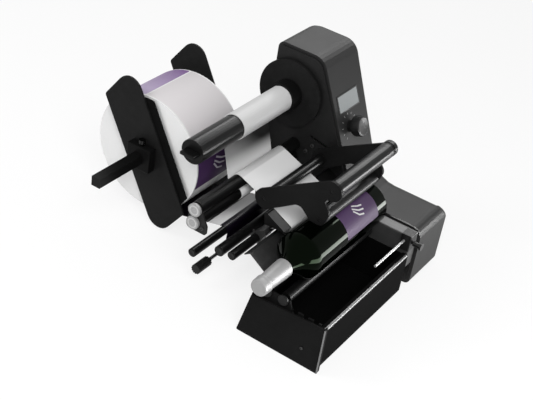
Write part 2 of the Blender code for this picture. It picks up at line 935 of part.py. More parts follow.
def shaft_roller(name, radius, near_x, y, z, material, near_profile=(), far_x=rod_root_x, shaft_x=None):
    """Roller with a shaft that runs on through the side plate."""
    shaft_x = shaft_x or cover_near_x + side_plate_thickness
    profile = list(near_profile) or [(0.0, 0.0)]
    profile += [(0.0, radius), (far_x - near_x, radius), (far_x - near_x, shaft_radius)]
    profile += [(shaft_x - near_x, shaft_radius), (shaft_x - near_x, 0.0)]
    item = turned(name, profile, (near_x, y, z), material)
    through_plate(y, z)
    return item


# Nip rollers, their end caps and the link plate that holds them apart
link_x = nip_outer_x + nip_cap_thickness + fit_gap
nip_body_x = link_x + link_thickness + fit_gap
neck_reach = nip_body_x - nip_outer_x - nip_cap_wall - fit_gap
cap_bore = nip_neck_radius + fit_gap
for name, y, z, shaft_x in (
    ("upper", nip_y, nip_z, None),
    ("lower", nip_lower_y, nip_lower_z, shaft_end_x),
):
    neck = [(-neck_reach, 0.0), (-neck_reach, nip_neck_radius), (0.0, nip_neck_radius)]
    shaft_roller(f"nip_roller_{name}", nip_radius, nip_body_x, y, z, rubber_black, neck, shaft_x=shaft_x)
    cap_profile = [
        (0.0, 0.0),
        (0.0, nip_radius),
        (nip_cap_thickness, nip_radius),
        (nip_cap_thickness, cap_bore),
        (nip_cap_wall, cap_bore),
        (nip_cap_wall, 0.0),
    ]
    turned(f"nip_cap_{name}", cap_profile, (nip_outer_x, y, z), bare_aluminium)
link_outline = belt([
    (link_heel_y, link_heel_z, link_heel_radius, 1),
    (nip_y, nip_z, link_tongue_radius, 1),
    (link_foot_y, link_front_z, link_corner_radius, 1),
    (link_foot_y, link_foot_z, link_corner_radius, 1),
])
link_plate = slab("nip_link_plate", link_outline, link_x, link_x + link_thickness, plate_black)
for y, z in ((nip_y, nip_z), (nip_lower_y, nip_lower_z)):
    drill(link_plate, cap_bore, link_x - cut_overrun, link_x + link_thickness + cut_overrun, y, z)

# Idle rollers and fixed rods under the web
shaft_roller("idle_roller_low", lower_rod_radius, rod_outer_x, lower_rod_y, lower_rod_z, roller_black)
shaft_roller("idle_roller_high", turn_roller_radius, rod_outer_x, turn_roller_y, turn_roller_z, roller_black)
rod("sensor_rod", sensor_rod_radius, rod_outer_x, rod_root_x, sensor_rod_y, sensor_rod_z, roller_black)
rod(
    "brake_rod",
    brake_rod_radius,
    rod_outer_x + brake_knob_length / 2.0,
    rod_root_x,
    brake_rod_y,
    brake_rod_z,
    steel,
)
knob_bore = brake_rod_radius + fit_gap
knob_bore_start = brake_knob_length / 2.0 - fit_gap
brake_knob_profile = [
    (0.0, 0.0),
    (0.0, brake_knob_radius),
    (brake_knob_length, brake_knob_radius),
    (brake_knob_length, knob_bore),
    (knob_bore_start, knob_bore),
    (knob_bore_start, 0.0),
]
brake_place = (rod_outer_x, brake_rod_y, brake_rod_z)
brake_knob = turned("brake_knob", brake_knob_profile, brake_place, roller_black, steps=24)
for flute in range(brake_knob_flutes):
    angle = math.tau * (flute + flute_phase) / brake_knob_flutes
    groove = rod(
        f"brake_flute_{flute}",
        flute_radius,
        rod_outer_x - cut_overrun,
        rod_outer_x + brake_knob_length + cut_overrun,
        brake_rod_y + brake_knob_radius * math.cos(angle),
        brake_rod_z + brake_knob_radius * math.sin(angle),
        cutter=True,
        steps=8,
    )
    combine(brake_knob, groove)

# Web of labels: roll, idle rollers, peel bar, nip rollers, rewinder
web_circles = [
    (supply_y, supply_z, label_roll_radius + web_lift, -1),
    (lower_rod_y, lower_rod_z, lower_rod_radius + web_lift, 1),
    (brake_rod_y, brake_rod_z, brake_rod_radius + web_lift, -1),
    (turn_roller_y, turn_roller_z, turn_roller_radius + web_lift, -1),
    (sensor_rod_y, sensor_rod_z, sensor_rod_radius + web_lift, 1),
    (peel_tip_y, peel_tip_z, peel_tip_radius + web_lift, -1),
    (peel_crest_y, peel_crest_z, peel_crest_radius + web_lift, -1),
    (nip_y, nip_z, nip_radius + web_lift, -1),
    (nip_lower_y, nip_lower_z, nip_radius + web_lift, 1),
    (rewind_y, rewind_z, wind_outer_radius + web_lift, 1),
]
web_line = belt(web_circles, closed=False)
slab("label_web", strip(web_line, web_thickness), web_near_x, web_far_x, paper_white)

# Peel bar and the apron below it
peel_outline = belt([
    (peel_tip_y, peel_tip_z, peel_tip_radius, 1),
    (peel_heel_y, peel_heel_z, peel_heel_radius, 1),
    (peel_crest_y, peel_crest_z, peel_crest_radius, 1),
])
slab("peel_bar", peel_outline, peel_outer_x, rod_root_x, plate_black)
apron_line = rounded([
    (apron_foot_y, apron_foot_z, 0.0),
    (apron_crest_y, apron_crest_z, apron_bend_radius),
    (apron_tail_y, apron_tail_z, 0.0),
], closed=False)
slab("apron", strip(apron_line, apron_thickness), apron_outer_x, rod_root_x, plate_black)

# Label sensor: a collar on its rod with two jaws that straddle the edge of the web
web_run = Vector(web_circles[5][:2]) - Vector(web_circles[4][:2])
run_lean = -(web_circles[5][2] + web_circles[4][2]) / web_run.length
run_heading = math.atan2(web_run.y, web_run.x) - math.asin(run_lean)
run_along = Vector((math.cos(run_heading), math.sin(run_heading)))
run_across = Vector((math.sin(run_heading), -math.cos(run_heading)))
run_start = Vector(web_circles[4][:2]) + run_across * web_circles[4][2]
jaw_centre = run_start + run_along * sensor_distance
jaw_reach = (sensor_half_length - sensor_corner_radius, sensor_half_height - sensor_corner_radius)
jaw_front = jaw_centre + run_along * jaw_reach[0]
jaw_back = jaw_centre - run_along * jaw_reach[0]
sensor_outline = belt([
    (sensor_rod_y, sensor_rod_z, sensor_collar_radius, 1),
    (*(jaw_back + run_across * jaw_reach[1]), sensor_corner_radius, 1),
    (*(jaw_front + run_across * jaw_reach[1]), sensor_corner_radius, 1),
    (*(jaw_front - run_across * jaw_reach[1]), sensor_corner_radius, 1),
    (sensor_hollow_y, sensor_hollow_z, sensor_hollow_radius, -1),
])
sensor_collar_x = sensor_outer_x + sensor_collar_length
sensor_inner_x = sensor_collar_x + sensor_jaw_length
sensor = slab("label_sensor", sensor_outline, sensor_outer_x, sensor_inner_x, plate_black)
drill(
    sensor,
    sensor_rod_radius + fit_gap,
    sensor_outer_x - cut_overrun,
    sensor_inner_x,
    sensor_rod_y,
    sensor_rod_z,
)
drill(
    sensor,
    sensor_collar_radius + fit_gap,
    sensor_collar_x,
    sensor_inner_x + cut_overrun,
    sensor_rod_y,
    sensor_rod_z,
)
slot_reach = sensor_half_length + sensor_collar_radius + cut_overrun
slot_lift = run_across * sensor_slot_height / 2.0
slot_corners = [
    jaw_centre - run_along * slot_reach - slot_lift,
    jaw_centre - run_along * slot_reach + slot_lift,
    jaw_centre + run_along * slot_reach + slot_lift,
    jaw_centre + run_along * slot_reach - slot_lift,
]
sensor_slot = slab(
    "sensor_slot",
    slot_corners,
    sensor_collar_x - fit_gap,
    sensor_inner_x + cut_overrun,
    cutter=True,
)
combine(sensor, sensor_slot)

# Rewinder: mandrel, flange, clip key and the liner wound on it
mandrel_length = mandrel_inner_x - mandrel_outer_x
hub_end = flange_x - mandrel_outer_x
mandrel_profile = [
    (0.0, 0.0),
    (0.0, mandrel_radius),
    (mandrel_length, mandrel_radius),
    (mandrel_length, rewind_hub_radius),
    (hub_end - fit_gap, rewind_hub_radius),
    (hub_end - fit_gap, shaft_radius),
    (shaft_end_x - mandrel_outer_x, shaft_radius),
    (shaft_end_x - mandrel_outer_x, 0.0),
]
rewind_place = (mandrel_outer_x, rewind_y, rewind_z)
mandrel = turned("rewind_mandrel", mandrel_profile, rewind_place, roller_black, steps=36)
through_plate(rewind_y, rewind_z)
relief(
    mandrel,
    (
        mandrel_outer_x - cut_overrun,
        rewind_y - key_width / 2.0 - fit_gap,
        rewind_z - key_thickness / 2.0 - fit_gap,
    ),
    (
        mandrel_outer_x + key_length + fit_gap,
        rewind_y + key_width / 2.0 + fit_gap,
        rewind_z + key_thickness / 2.0 + fit_gap,
    ),
)
flange_profile = [
    (0.0, shaft_radius + fit_gap),
    (0.0, flange_radius),
    (flange_thickness, flange_radius),
    (flange_thickness, shaft_radius + fit_gap),
]
flange_place = (flange_x, rewind_y, rewind_z)
turned("rewind_flange", flange_profile, flange_place, plate_black, closed=True, steps=48)
wind_near_x = web_near_x
wind_length = web_width + liner_wind_overhang
wind_profile = [
    (0.0, mandrel_radius + fit_gap),
    (0.0, wind_outer_radius),
    (wind_length, wind_outer_radius),
    (wind_length, mandrel_radius + fit_gap),
]
wind_place = (wind_near_x, rewind_y, rewind_z)
turned("liner_wind", wind_profile, wind_place, paper_white, closed=True, steps=36)
key_tab_x = mandrel_outer_x - key_tab_length
key = block(
    "rewind_key",
    (key_tab_x, rewind_y - key_width / 2.0, rewind_z - key_thickness / 2.0),
    (mandrel_outer_x + key_length, rewind_y + key_width / 2.0, rewind_z + key_thickness / 2.0),
    plate_black,
)
soften(key, key_thickness / 5.0, 2)

# Supply: square bar, bracket, guide plates with clamps, hub, core and label roll
bar_half = bar_side / 2.0
bar = block(
    "supply_bar",
    (bar_outer_x, supply_y - bar_half, supply_z - bar_half),
    (bar_end_x, supply_y + bar_half, supply_z + bar_half),
    roller_black,
)
arm_half_height = supply_arm_height / 2.0
arm_foot_y = housing_depth + fit_gap
arm_corner = guide_shoulder_radius
supply_arm = slab(
    "supply_arm",
    rounded([
        (arm_foot_y, supply_z - arm_half_height, 0.0),
        (supply_y + arm_half_height, supply_z - arm_half_height, arm_corner),
        (supply_y + arm_half_height, supply_z + arm_half_height, arm_corner),
        (arm_foot_y, supply_z + arm_half_height, 0.0),
    ]),
    supply_arm_x,
    supply_arm_x + supply_arm_thickness,
    cover_black,
)
arm_foot = block(
    "supply_arm_foot",
    (supply_arm_x, arm_foot_y, supply_z - supply_arm_foot_height / 2.0),
    (
        supply_arm_x + supply_arm_foot,
        arm_foot_y + supply_arm_thickness,
        supply_z + supply_arm_foot_height / 2.0,
    ),
)
joined(supply_arm, arm_foot)


def bar_hole(item, near_x, far_x):
    """Square hole for the supply bar."""
    half = bar_half + fit_gap
    return relief(
        item,
        (near_x - cut_overrun, supply_y - half, supply_z - half),
        (far_x + cut_overrun, supply_y + half, supply_z + half),
    )


bar_hole(supply_arm, supply_arm_x, supply_arm_x + supply_arm_thickness)
guide_corners = [
    (guide_half_width, guide_shoulder, guide_shoulder_radius),
    (-guide_half_width, guide_tip, guide_tip_radius),
    (-guide_half_width, -guide_shoulder, guide_shoulder_radius),
    (guide_half_width, -guide_tip, guide_tip_radius),
]
guide_turn = Matrix.Rotation(-guide_tilt, 2)
supply_centre = Vector((supply_y, supply_z))
guide_outline = [supply_centre + guide_turn @ point for point in rounded(guide_corners)]
for name, near_x, clamp_near_x in (
    ("near", near_guide_x, near_guide_x - fit_gap - clamp_depth),
    ("far", far_guide_x, far_guide_x - fit_gap - clamp_depth),
):
    guide = slab(
        f"guide_plate_{name}", guide_outline, near_x, near_x + guide_thickness, arm_black,
        hub=supply_centre,
    )
    bar_hole(guide, near_x, near_x + guide_thickness)
    clamp = block(
        f"guide_clamp_{name}",
        (clamp_near_x, supply_y - clamp_width / 2.0, supply_z - clamp_height / 2.0),
        (clamp_near_x + clamp_depth, supply_y + clamp_width / 2.0, supply_z + clamp_height / 2.0),
        roller_black,
    )
    soften(clamp, guide_thickness / 3.0)
    bar_hole(clamp, clamp_near_x, clamp_near_x + clamp_depth)
    clamp_x = clamp_near_x + clamp_depth / 2.0
    screw_z = supply_z + bar_half + fit_gap
    screw_top = clamp_height / 2.0 - bar_half - fit_gap + thumb_stem_length
    screw_profile = [
        (0.0, 0.0),
        (0.0, thumb_shank_radius),
        (screw_top, thumb_shank_radius),
        (screw_top, thumb_head_radius),
        (screw_top + thumb_head_length, thumb_head_radius),
        (screw_top + thumb_head_length, 0.0),
    ]
    screw_place = (clamp_x, supply_y, screw_z)
    turned(f"clamp_screw_{name}", screw_profile, screw_place, bare_aluminium, turn=upright)
    hole_profile = [
        (-cut_overrun, 0.0),
        (-cut_overrun, thumb_shank_radius + fit_gap),
        (screw_top, thumb_shank_radius + fit_gap),
        (screw_top, 0.0),
    ]
    combine(clamp, turned(f"clamp_hole_{name}", hole_profile, screw_place, cutter=True, turn=upright))
core_near_x = web_near_x - core_overhang
core_length = web_width + 2.0 * core_overhang
core_inner_radius = core_outer_radius - core_wall
bar_corner_radius = bar_half * math.sqrt(2.0) + fit_gap


roll_profile = [
    (0.0, core_inner_radius),
    (0.0, core_outer_radius),
    (core_overhang, core_outer_radius),
    (core_overhang, label_roll_radius),
    (core_overhang + web_width, label_roll_radius),
    (core_overhang + web_width, core_outer_radius),
    (core_length, core_outer_radius),
    (core_length, core_inner_radius),
]
roll_place = (core_near_x, supply_y, supply_z)
turned("label_roll", roll_profile, roll_place, paper_white, closed=True, steps=64)
hub_profile = [
    (0.0, bar_corner_radius),
    (0.0, core_inner_radius - fit_gap),
    (core_length, core_inner_radius - fit_gap),
    (core_length, bar_corner_radius),
]
turned("core_hub", hub_profile, roll_place, plate_black, closed=True, steps=36)

# Pressing arms: pivot shaft, sleeve, two arms, handle bar and press roller
arm_inner_near = arm_outer_x + arm_thickness


def arm_shape(handle_lobe):
    """Outline of a pressing arm round its pivot, the handle bar and the press roller."""
    return belt([
        (pivot_y, pivot_z, pivot_lobe_radius, 1),
        (handle_y, handle_z, handle_lobe, 1),
        (arm_notch_y, arm_notch_z, arm_notch_radius, -1),
        (arm_cheek_y, arm_cheek_z, arm_cheek_radius, 1),
        (press_y, press_z, press_lobe_radius, 1),
        (arm_toe_y, arm_toe_z, arm_toe_radius, 1),
        (arm_crook_y, arm_crook_z, arm_crook_radius, -1),
    ])


pivot_hub = Vector((pivot_y, pivot_z))
journal_radius = press_journal_radius
for name, near_x, handle_lobe, pivot_bore, handle_bore in (
    ("near", arm_outer_x, handle_lobe_radius, journal_radius, journal_radius),
    ("far", arm_far_x, handle_far_lobe_radius, pivot_shaft_radius, handle_neck_radius),
):
    far_x = near_x + arm_thickness
    arm = slab(f"arm_{name}", arm_shape(handle_lobe), near_x, far_x, arm_black, hub=pivot_hub)
    soften(arm, arm_edge_bevel)
    for radius, y, z in (
        (pivot_bore, pivot_y, pivot_z),
        (handle_bore, handle_y, handle_z),
        (journal_radius, press_y, press_z),
    ):
        drill(arm, radius + fit_gap, near_x - cut_overrun, far_x + cut_overrun, y, z)
pivot_shaft_x = arm_inner_near + pivot_shaft_inset
rod("pivot_shaft", pivot_shaft_radius, pivot_shaft_x, rod_root_x, pivot_y, pivot_z, steel)
sleeve_near = arm_inner_near + fit_gap
sleeve_length = arm_far_x - fit_gap - sleeve_near
sleeve_bore = pivot_shaft_radius + fit_gap
sleeve_floor = pivot_shaft_inset - 2.0 * fit_gap
sleeve_spigot = arm_outer_x + arm_journal_inset - sleeve_near
sleeve_profile = [
    (sleeve_spigot, 0.0),
    (sleeve_spigot, journal_radius),
    (0.0, journal_radius),
    (0.0, pivot_sleeve_radius),
    (sleeve_length, pivot_sleeve_radius),
    (sleeve_length, sleeve_bore),
    (sleeve_floor, sleeve_bore),
    (sleeve_floor, 0.0),
]
turned("pivot_sleeve", sleeve_profile, (sleeve_near, pivot_y, pivot_z), roller_black)
handle_profile = [
    (sleeve_spigot, 0.0),
    (sleeve_spigot, journal_radius),
    (0.0, journal_radius),
    (0.0, handle_radius),
    (sleeve_length, handle_radius),
    (sleeve_length, handle_neck_radius),
    (sleeve_length + arm_thickness + 2.0 * fit_gap, handle_neck_radius),
    (sleeve_length + arm_thickness + 2.0 * fit_gap, handle_radius),
    (handle_end_x - sleeve_near, handle_radius),
    (handle_end_x - sleeve_near, 0.0),
]
turned("handle_bar", handle_profile, (sleeve_near, handle_y, handle_z), plate_black)
press_journal = arm_thickness + fit_gap - arm_journal_inset
press_profile = [
    (sleeve_spigot, 0.0),
    (sleeve_spigot, journal_radius),
    (0.0, journal_radius),
    (0.0, press_radius),
    (sleeve_length, press_radius),
    (sleeve_length, journal_radius),
    (sleeve_length + press_journal, journal_radius),
    (sleeve_length + press_journal, 0.0),
]
turned("press_roller", press_profile, (sleeve_near, press_y, press_z), rubber_black)

# Tray: end plate, channel and outer roller bracket
end_plate_outline = rounded([
    (0.0, 0.0, 0.0),
    (end_plate_depth, 0.0, end_plate_corner_radius),
    (end_plate_top_depth, end_plate_back_height, end_plate_corner_radius),
    (0.0, end_plate_front_height, 0.0),
])
end_plate = slab("tray_end_plate", end_plate_outline, 0.0, end_plate_thickness, plate_black)
end_flange = block(
    "end_flange",
    (end_plate_thickness / 2.0, fit_gap, fit_gap),
    (end_flange_width, fit_gap + end_flange_thickness, end_plate_front_height - fit_gap),
)
joined(end_plate, end_flange)
drill(
    end_plate,
    end_plate_hole_radius,
    -cut_overrun,
    end_plate_thickness + cut_overrun,
    end_plate_hole_y,
    end_plate_hole_z,
)
half_wall = tray_wall / 2.0
tray_line = rounded([
    (tray_front_y + tray_lip, tray_front_height - half_wall, 0.0),
    (tray_front_y + half_wall, tray_front_height - half_wall, tray_bend_radius),
    (tray_front_y + half_wall, tray_bottom_z + half_wall, tray_bend_radius),
    (tray_rear_foot_y - half_wall, tray_bottom_z + half_wall, tray_bend_radius),
    (tray_rear_top_y - half_wall, tray_rear_height, 0.0),
], closed=False)
tray = slab(
    "tray",
    strip(tray_line, tray_wall),
    end_plate_thickness + fit_gap,
    head_near_x - fit_gap,
    plate_black,
)
tray_end_corners = [
    Vector((tray_front_y + half_wall, tray_bottom_z + half_wall)),
    Vector((tray_rear_foot_y - tray_wall, tray_bottom_z + half_wall)),
    Vector((tray_rear_top_y - tray_wall, tray_front_height - tray_wall)),
    Vector((tray_front_y + half_wall, tray_front_height - tray_wall)),
]
tray_end_x = head_near_x - 2.0 * fit_gap
joined(tray, slab("tray_end", tray_end_corners, tray_end_x - tray_end_wall, tray_end_x))
bracket_corners = [
    (bracket_front_y, tray_bottom_z + tray_wall + fit_gap, 0.0),
    (bracket_rear_y, tray_bottom_z + tray_wall + fit_gap, 0.0),
    (bracket_rear_y, bracket_rear_height, bracket_step_run / 2.0),
    (bracket_step_y, bracket_rear_height, bracket_step_run / 2.0),
    (bracket_step_y - bracket_step_run, bracket_front_height, 0.0),
    (bracket_front_y, bracket_front_height, bracket_side_margin),
]
bracket_far_x = bracket_x + bracket_thickness
bracket = slab("roller_bracket", rounded(bracket_corners), bracket_x, bracket_far_x, plate_black)


def bearing_notch(item, y, axis_z, top_z, near_x, far_x):
    """Notch, open at the top, in which a roller neck rests."""
    radius = cradle_neck_radius + fit_gap
    drill(item, radius, near_x - cut_overrun, far_x + cut_overrun, y, axis_z)
    low = (near_x - cut_overrun, y - radius, axis_z)
    high = (far_x + cut_overrun, y + radius, top_z + cut_overrun)
    relief(item, low, high)


for y in (cradle_front_y, cradle_rear_y):
    bearing_notch(bracket, y, cradle_roller_z, bracket_rear_height, bracket_x, bracket_far_x)
for number in range(bracket_notches):
    notch_y = bracket_front_y + bracket_notch_pitch * (number + 0.5)
    notch_z = bracket_front_height - bracket_notch_depth + bracket_notch_radius
    bearing_notch(bracket, notch_y, notch_z, bracket_front_height, bracket_x, bracket_far_x)

# Head of the cradle: the block that bears the inner ends of the rollers and stops the bottle
head = block(
    "cradle_head",
    (head_near_x, head_front_y, head_bottom_z),
    (rod_root_x, head_rear_y, head_top_z),
    cover_black,
)
soften(head, head_edge_radius)
relief(
    head,
    (head_near_x - cut_overrun, head_front_y - cut_overrun, stop_block_bottom_z - fit_gap),
    (stop_block_inner_x + fit_gap, stop_block_rear_y + fit_gap, head_top_z + cut_overrun),
)
journal_bore = shaft_radius + fit_gap
front_journal_x = head_near_x + cradle_journal_depth
drill(
    head, journal_bore, head_near_x - cut_overrun, front_journal_x + fit_gap, cradle_front_y, cradle_roller_z
)
drill(
    head, journal_bore, head_near_x - cut_overrun, rod_root_x + cut_overrun, cradle_rear_y, cradle_roller_z
)
drill(
    head,
    stop_rod_radius + fit_gap,
    head_near_x - cut_overrun,
    rod_root_x + cut_overrun,
    stop_rod_y,
    stop_rod_z,
)
through_plate(stop_rod_y, stop_rod_z, stop_rod_radius)
through_plate(cradle_rear_y, cradle_roller_z)
neck_start = bracket_x - cut_overrun - cradle_outer_x
for name, y, journal_x in (
    ("front", cradle_front_y, front_journal_x),
    ("rear", cradle_rear_y, shaft_end_x),
):
    cradle_profile = [
        (neck_start, 0.0),
        (neck_start, cradle_neck_radius),
        (0.0, cradle_neck_radius),
        (0.0, cradle_roller_radius),
        (cradle_inner_x - cradle_outer_x, cradle_roller_radius),
        (cradle_inner_x - cradle_outer_x, shaft_radius),
        (journal_x - cradle_outer_x, shaft_radius),
        (journal_x - cradle_outer_x, 0.0),
    ]
    cradle_place = (cradle_outer_x, y, cradle_roller_z)
    turned(f"cradle_roller_{name}", cradle_profile, cradle_place, rubber_black)

# Stop rod with its block and thumbscrew
stop_block = block(
    "stop_block",
    (stop_block_outer_x, stop_block_front_y, stop_block_bottom_z),
    (stop_block_inner_x, stop_block_rear_y, stop_block_top_z),
    roller_black,
)
soften(stop_block, stop_block_edge)
drill(
    stop_block,
    stop_rod_radius + fit_gap,
    stop_block_outer_x - cut_overrun,
    stop_block_inner_x + cut_overrun,
    stop_rod_y,
    stop_rod_z,
)
rod(
    "stop_rod", stop_rod_radius, stop_rod_outer_x, stop_rod_inner_x, stop_rod_y, stop_rod_z, steel
)
stop_tip = stop_rod_y - stop_rod_radius - fit_gap - stop_block_front_y
stop_screw_profile = [
    (-stop_tip, 0.0),
    (-stop_tip, stop_screw_radius),
    (stop_screw_neck, stop_screw_radius),
    (stop_screw_neck, stop_screw_grip_radius),
    (stop_screw_length - stop_screw_disc_thickness, stop_screw_grip_radius),
    (stop_screw_length - stop_screw_disc_thickness, stop_screw_disc_radius),
    (stop_screw_length, stop_screw_disc_radius),
    (stop_screw_length, 0.0),
]
towards_front = Matrix.Rotation(math.radians(90.0), 3, "X")
stop_screw_place = (stop_screw_x, stop_block_front_y, stop_screw_z)
turned("stop_screw", stop_screw_profile, stop_screw_place, bare_aluminium, turn=towards_front)
stop_hole_profile = [
    (-stop_tip - fit_gap, 0.0),
    (-stop_tip - fit_gap, stop_screw_radius + fit_gap),
    (cut_overrun, stop_screw_radius + fit_gap),
    (cut_overrun, 0.0),
]
stop_hole = turned("stop_hole", stop_hole_profile, stop_screw_place, cutter=True, turn=towards_front)
combine(stop_block, stop_hole)

# Bottle: punt, foot, straight body, shoulder and neck, turned from its mouth to its base
shoulder_end = bottle_length - bottle_shoulder_start - bottle_shoulder_length
shoulder_begin = bottle_length - bottle_shoulder_start
bottle_profile = [(0.0, 0.0), (0.0, bottle_neck_radius), (shoulder_end, bottle_neck_radius)]
for step in range(1, bottle_shoulder_steps):
    share = step / bottle_shoulder_steps
    swell = math.sin(math.pi / 2.0 * math.sin(math.pi / 2.0 * share) ** 2)
    bottle_profile.append((
        shoulder_end + share * bottle_shoulder_length,
        bottle_neck_radius + swell * (bottle_radius - bottle_neck_radius),
    ))
bottle_profile += [
    (shoulder_begin, bottle_radius),
    (bottle_length - bottle_foot_rounding, bottle_radius),
    (bottle_length, bottle_radius - bottle_foot_rounding),
    (bottle_length, bottle_punt_radius),
    (bottle_length - bottle_punt_depth, 0.0),
]
bottle_place = (bottle_mouth_x, bottle_y, bottle_z)
turned("bottle", bottle_profile, bottle_place, glass_dark, steps=bottle_steps)
capsule_inner = bottle_neck_radius + fit_gap
capsule_outer = capsule_inner + capsule_wall
capsule_profile = [
    (-fit_gap - capsule_wall, 0.0),
    (-fit_gap - capsule_wall, capsule_outer),
    (capsule_length, capsule_outer),
    (capsule_length, capsule_inner),
    (-fit_gap, capsule_inner),
    (-fit_gap, 0.0),
]
turned("bottle_capsule", capsule_profile, bottle_place, capsule_silver, steps=bottle_steps)

# Slot in the side plate above the peel bar
plate_slot = belt([
    (slot_y + slot_half_length, slot_z + slot_rise, slot_radius, 1),
    (slot_y - slot_half_length, slot_z - slot_rise, slot_radius, 1),
])
slot_cutter = slab(
    "plate_slot", plate_slot, plate_face_x - cut_overrun, cover_near_x + cut_overrun, cutter=True
)
combine(side_plate, slot_cutter)

# Round pieces are shaded smooth, with their sharp edges kept
for item in parts.objects:
    for face in item.data.polygons:
        face.use_smooth = True
    for change in item.modifiers:
        if change.type == "SCREW":
            change.use_smooth_shade = True
    item.data.set_sharp_from_angle(angle=math.radians(30.0))
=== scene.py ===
"""Looks of the bench-top bottle labelling machine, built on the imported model."""
import math

import bmesh
import bpy
from mathutils import Matrix, Vector


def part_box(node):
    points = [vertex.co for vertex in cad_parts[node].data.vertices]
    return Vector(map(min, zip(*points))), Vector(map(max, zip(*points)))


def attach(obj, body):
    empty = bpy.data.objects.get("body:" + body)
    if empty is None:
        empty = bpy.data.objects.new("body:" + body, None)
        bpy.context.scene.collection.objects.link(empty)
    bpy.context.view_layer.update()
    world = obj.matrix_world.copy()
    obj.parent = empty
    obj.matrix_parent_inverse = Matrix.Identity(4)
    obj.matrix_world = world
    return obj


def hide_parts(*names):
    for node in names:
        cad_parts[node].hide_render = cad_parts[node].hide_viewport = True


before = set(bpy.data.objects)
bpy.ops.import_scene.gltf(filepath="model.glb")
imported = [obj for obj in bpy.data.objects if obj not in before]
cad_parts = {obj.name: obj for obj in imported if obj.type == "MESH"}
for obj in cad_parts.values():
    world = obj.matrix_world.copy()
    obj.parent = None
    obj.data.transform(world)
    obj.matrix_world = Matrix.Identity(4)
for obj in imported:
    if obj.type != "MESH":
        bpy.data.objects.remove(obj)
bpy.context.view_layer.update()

# Camera: at the outer end of the rollers, looking down along them to the housing.
# Places here and below count from the tray's outer end, the housing's front and the bench, as
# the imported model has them, so that every piece sits where the solids are.
zero_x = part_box("tray_end_plate")[0][0]
zero_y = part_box("housing_cover")[0][1]


def at(x, y, z):
    """World place of a point of the machine."""
    return Vector((zero_x + x, zero_y + y, z))


camera_place = at(-1.1015, -0.4892, 1.080)
camera_turn = Matrix((
    (0.5604, 0.3993, -0.7256),
    (-0.8167, 0.4120, -0.4041),
    (0.1376, 0.8190, 0.5570),
))
camera_data = bpy.data.cameras.new("photo_camera")
camera_data.lens = 77.25
camera_data.sensor_width = 36.0
camera_data.clip_end = 20.0
camera = bpy.data.objects.new("photo_camera", camera_data)
camera.matrix_world = Matrix.Translation(camera_place) @ camera_turn.to_4x4()
bpy.context.scene.collection.objects.link(camera)
bpy.context.scene.camera = camera

# Studio: a long soft box over the far end and a strip low in front, seen only in reflections,
# draw the lines on the rods and along the bottle. Two soft boxes that no piece mirrors light
# the object from the outer end.
bpy.context.scene.view_settings.view_transform = "Standard"
machine_middle = (0.0, 0.0, 0.12)
for name, place, aim, size, power, mirrored in (
    ("key_softbox", (1.53, 0.18, 1.42), machine_middle, (1.6, 0.26), 26.0, True),
    ("low_reflector", (0.14, -0.56, 0.085), (0.10, -0.1, 0.10), (0.95, 0.12), 9.0, True),
    ("fill_softbox", (-1.2, 1.6, 1.5), machine_middle, (0.9, 0.9), 20.0, False),
    ("front_softbox", (-1.3, -1.05, 1.75), machine_middle, (1.2, 0.9), 40.0, False),
):
    light_data = bpy.data.lights.new(name, "AREA")
    light_data.shape = "RECTANGLE"
    light_data.size, light_data.size_y = size
    light_data.energy = power
    light = bpy.data.objects.new(name, light_data)
    light.visible_camera = False
    light.visible_glossy = mirrored
    light.visible_diffuse = not mirrored
    way = Vector(aim) - Vector(place)
    side = Vector((0.0, 0.0, 1.0)).cross(way).normalized()
    turn = Matrix((side, -way.cross(side).normalized(), -way.normalized())).transposed()
    light.matrix_world = Matrix.Translation(place) @ turn.to_4x4()
    bpy.context.scene.collection.objects.link(light)

# World: white to the camera, in reflections and through glass, and a weaker plain light on the
# object itself.
white = (1.0, 1.0, 1.0, 1.0)
world_light = 0.44


def set_inputs(node, values):
    """Give the sockets of a node or shader their values."""
    for label, value in values.items():
        node.inputs[label].default_value = value


def feed(tree, value, socket):
    """Link an input to another socket, or give it a constant."""
    if isinstance(value, (int, float, tuple)):
        socket.default_value = value
    else:
        tree.links.new(value, socket)


def math_node(tree, operation, first, second=None, clamp=False):
    """Result of a math node fed by sockets or by numbers."""
    node = tree.nodes.new("ShaderNodeMath")
    node.operation = operation
    node.use_clamp = clamp
    feed(tree, first, node.inputs[0])
    if second is not None:
        feed(tree, second, node.inputs[1])
    return node.outputs[0]


def shown_rays(tree):
    """1 for rays from the camera, from a mirroring piece or through glass, and 0 for light."""
    rays = tree.nodes.new("ShaderNodeLightPath").outputs
    seen = math_node(tree, "MAXIMUM", rays["Is Camera Ray"], rays["Is Glossy Ray"])
    return math_node(tree, "MAXIMUM", seen, rays["Is Transmission Ray"])


def mix_shaders(tree, share, first, second, output):
    """Send a mix of two shaders to an output node."""
    mix = tree.nodes.new("ShaderNodeMixShader")
    for index, socket in enumerate((share, first, second)):
        tree.links.new(socket, mix.inputs[index])
    tree.links.new(mix.outputs["Shader"], output.inputs["Surface"])


world = bpy.data.worlds.new("studio_world")
world.use_nodes = True
bpy.context.scene.world = world
tree = world.node_tree
tree.nodes.clear()
skies = []
for strength in (world_light, 1.0):
    sky = tree.nodes.new("ShaderNodeBackground")
    set_inputs(sky, {"Color": white, "Strength": strength})
    skies.append(sky.outputs["Background"])
mix_shaders(tree, shown_rays(tree), *skies, tree.nodes.new("ShaderNodeOutputWorld"))

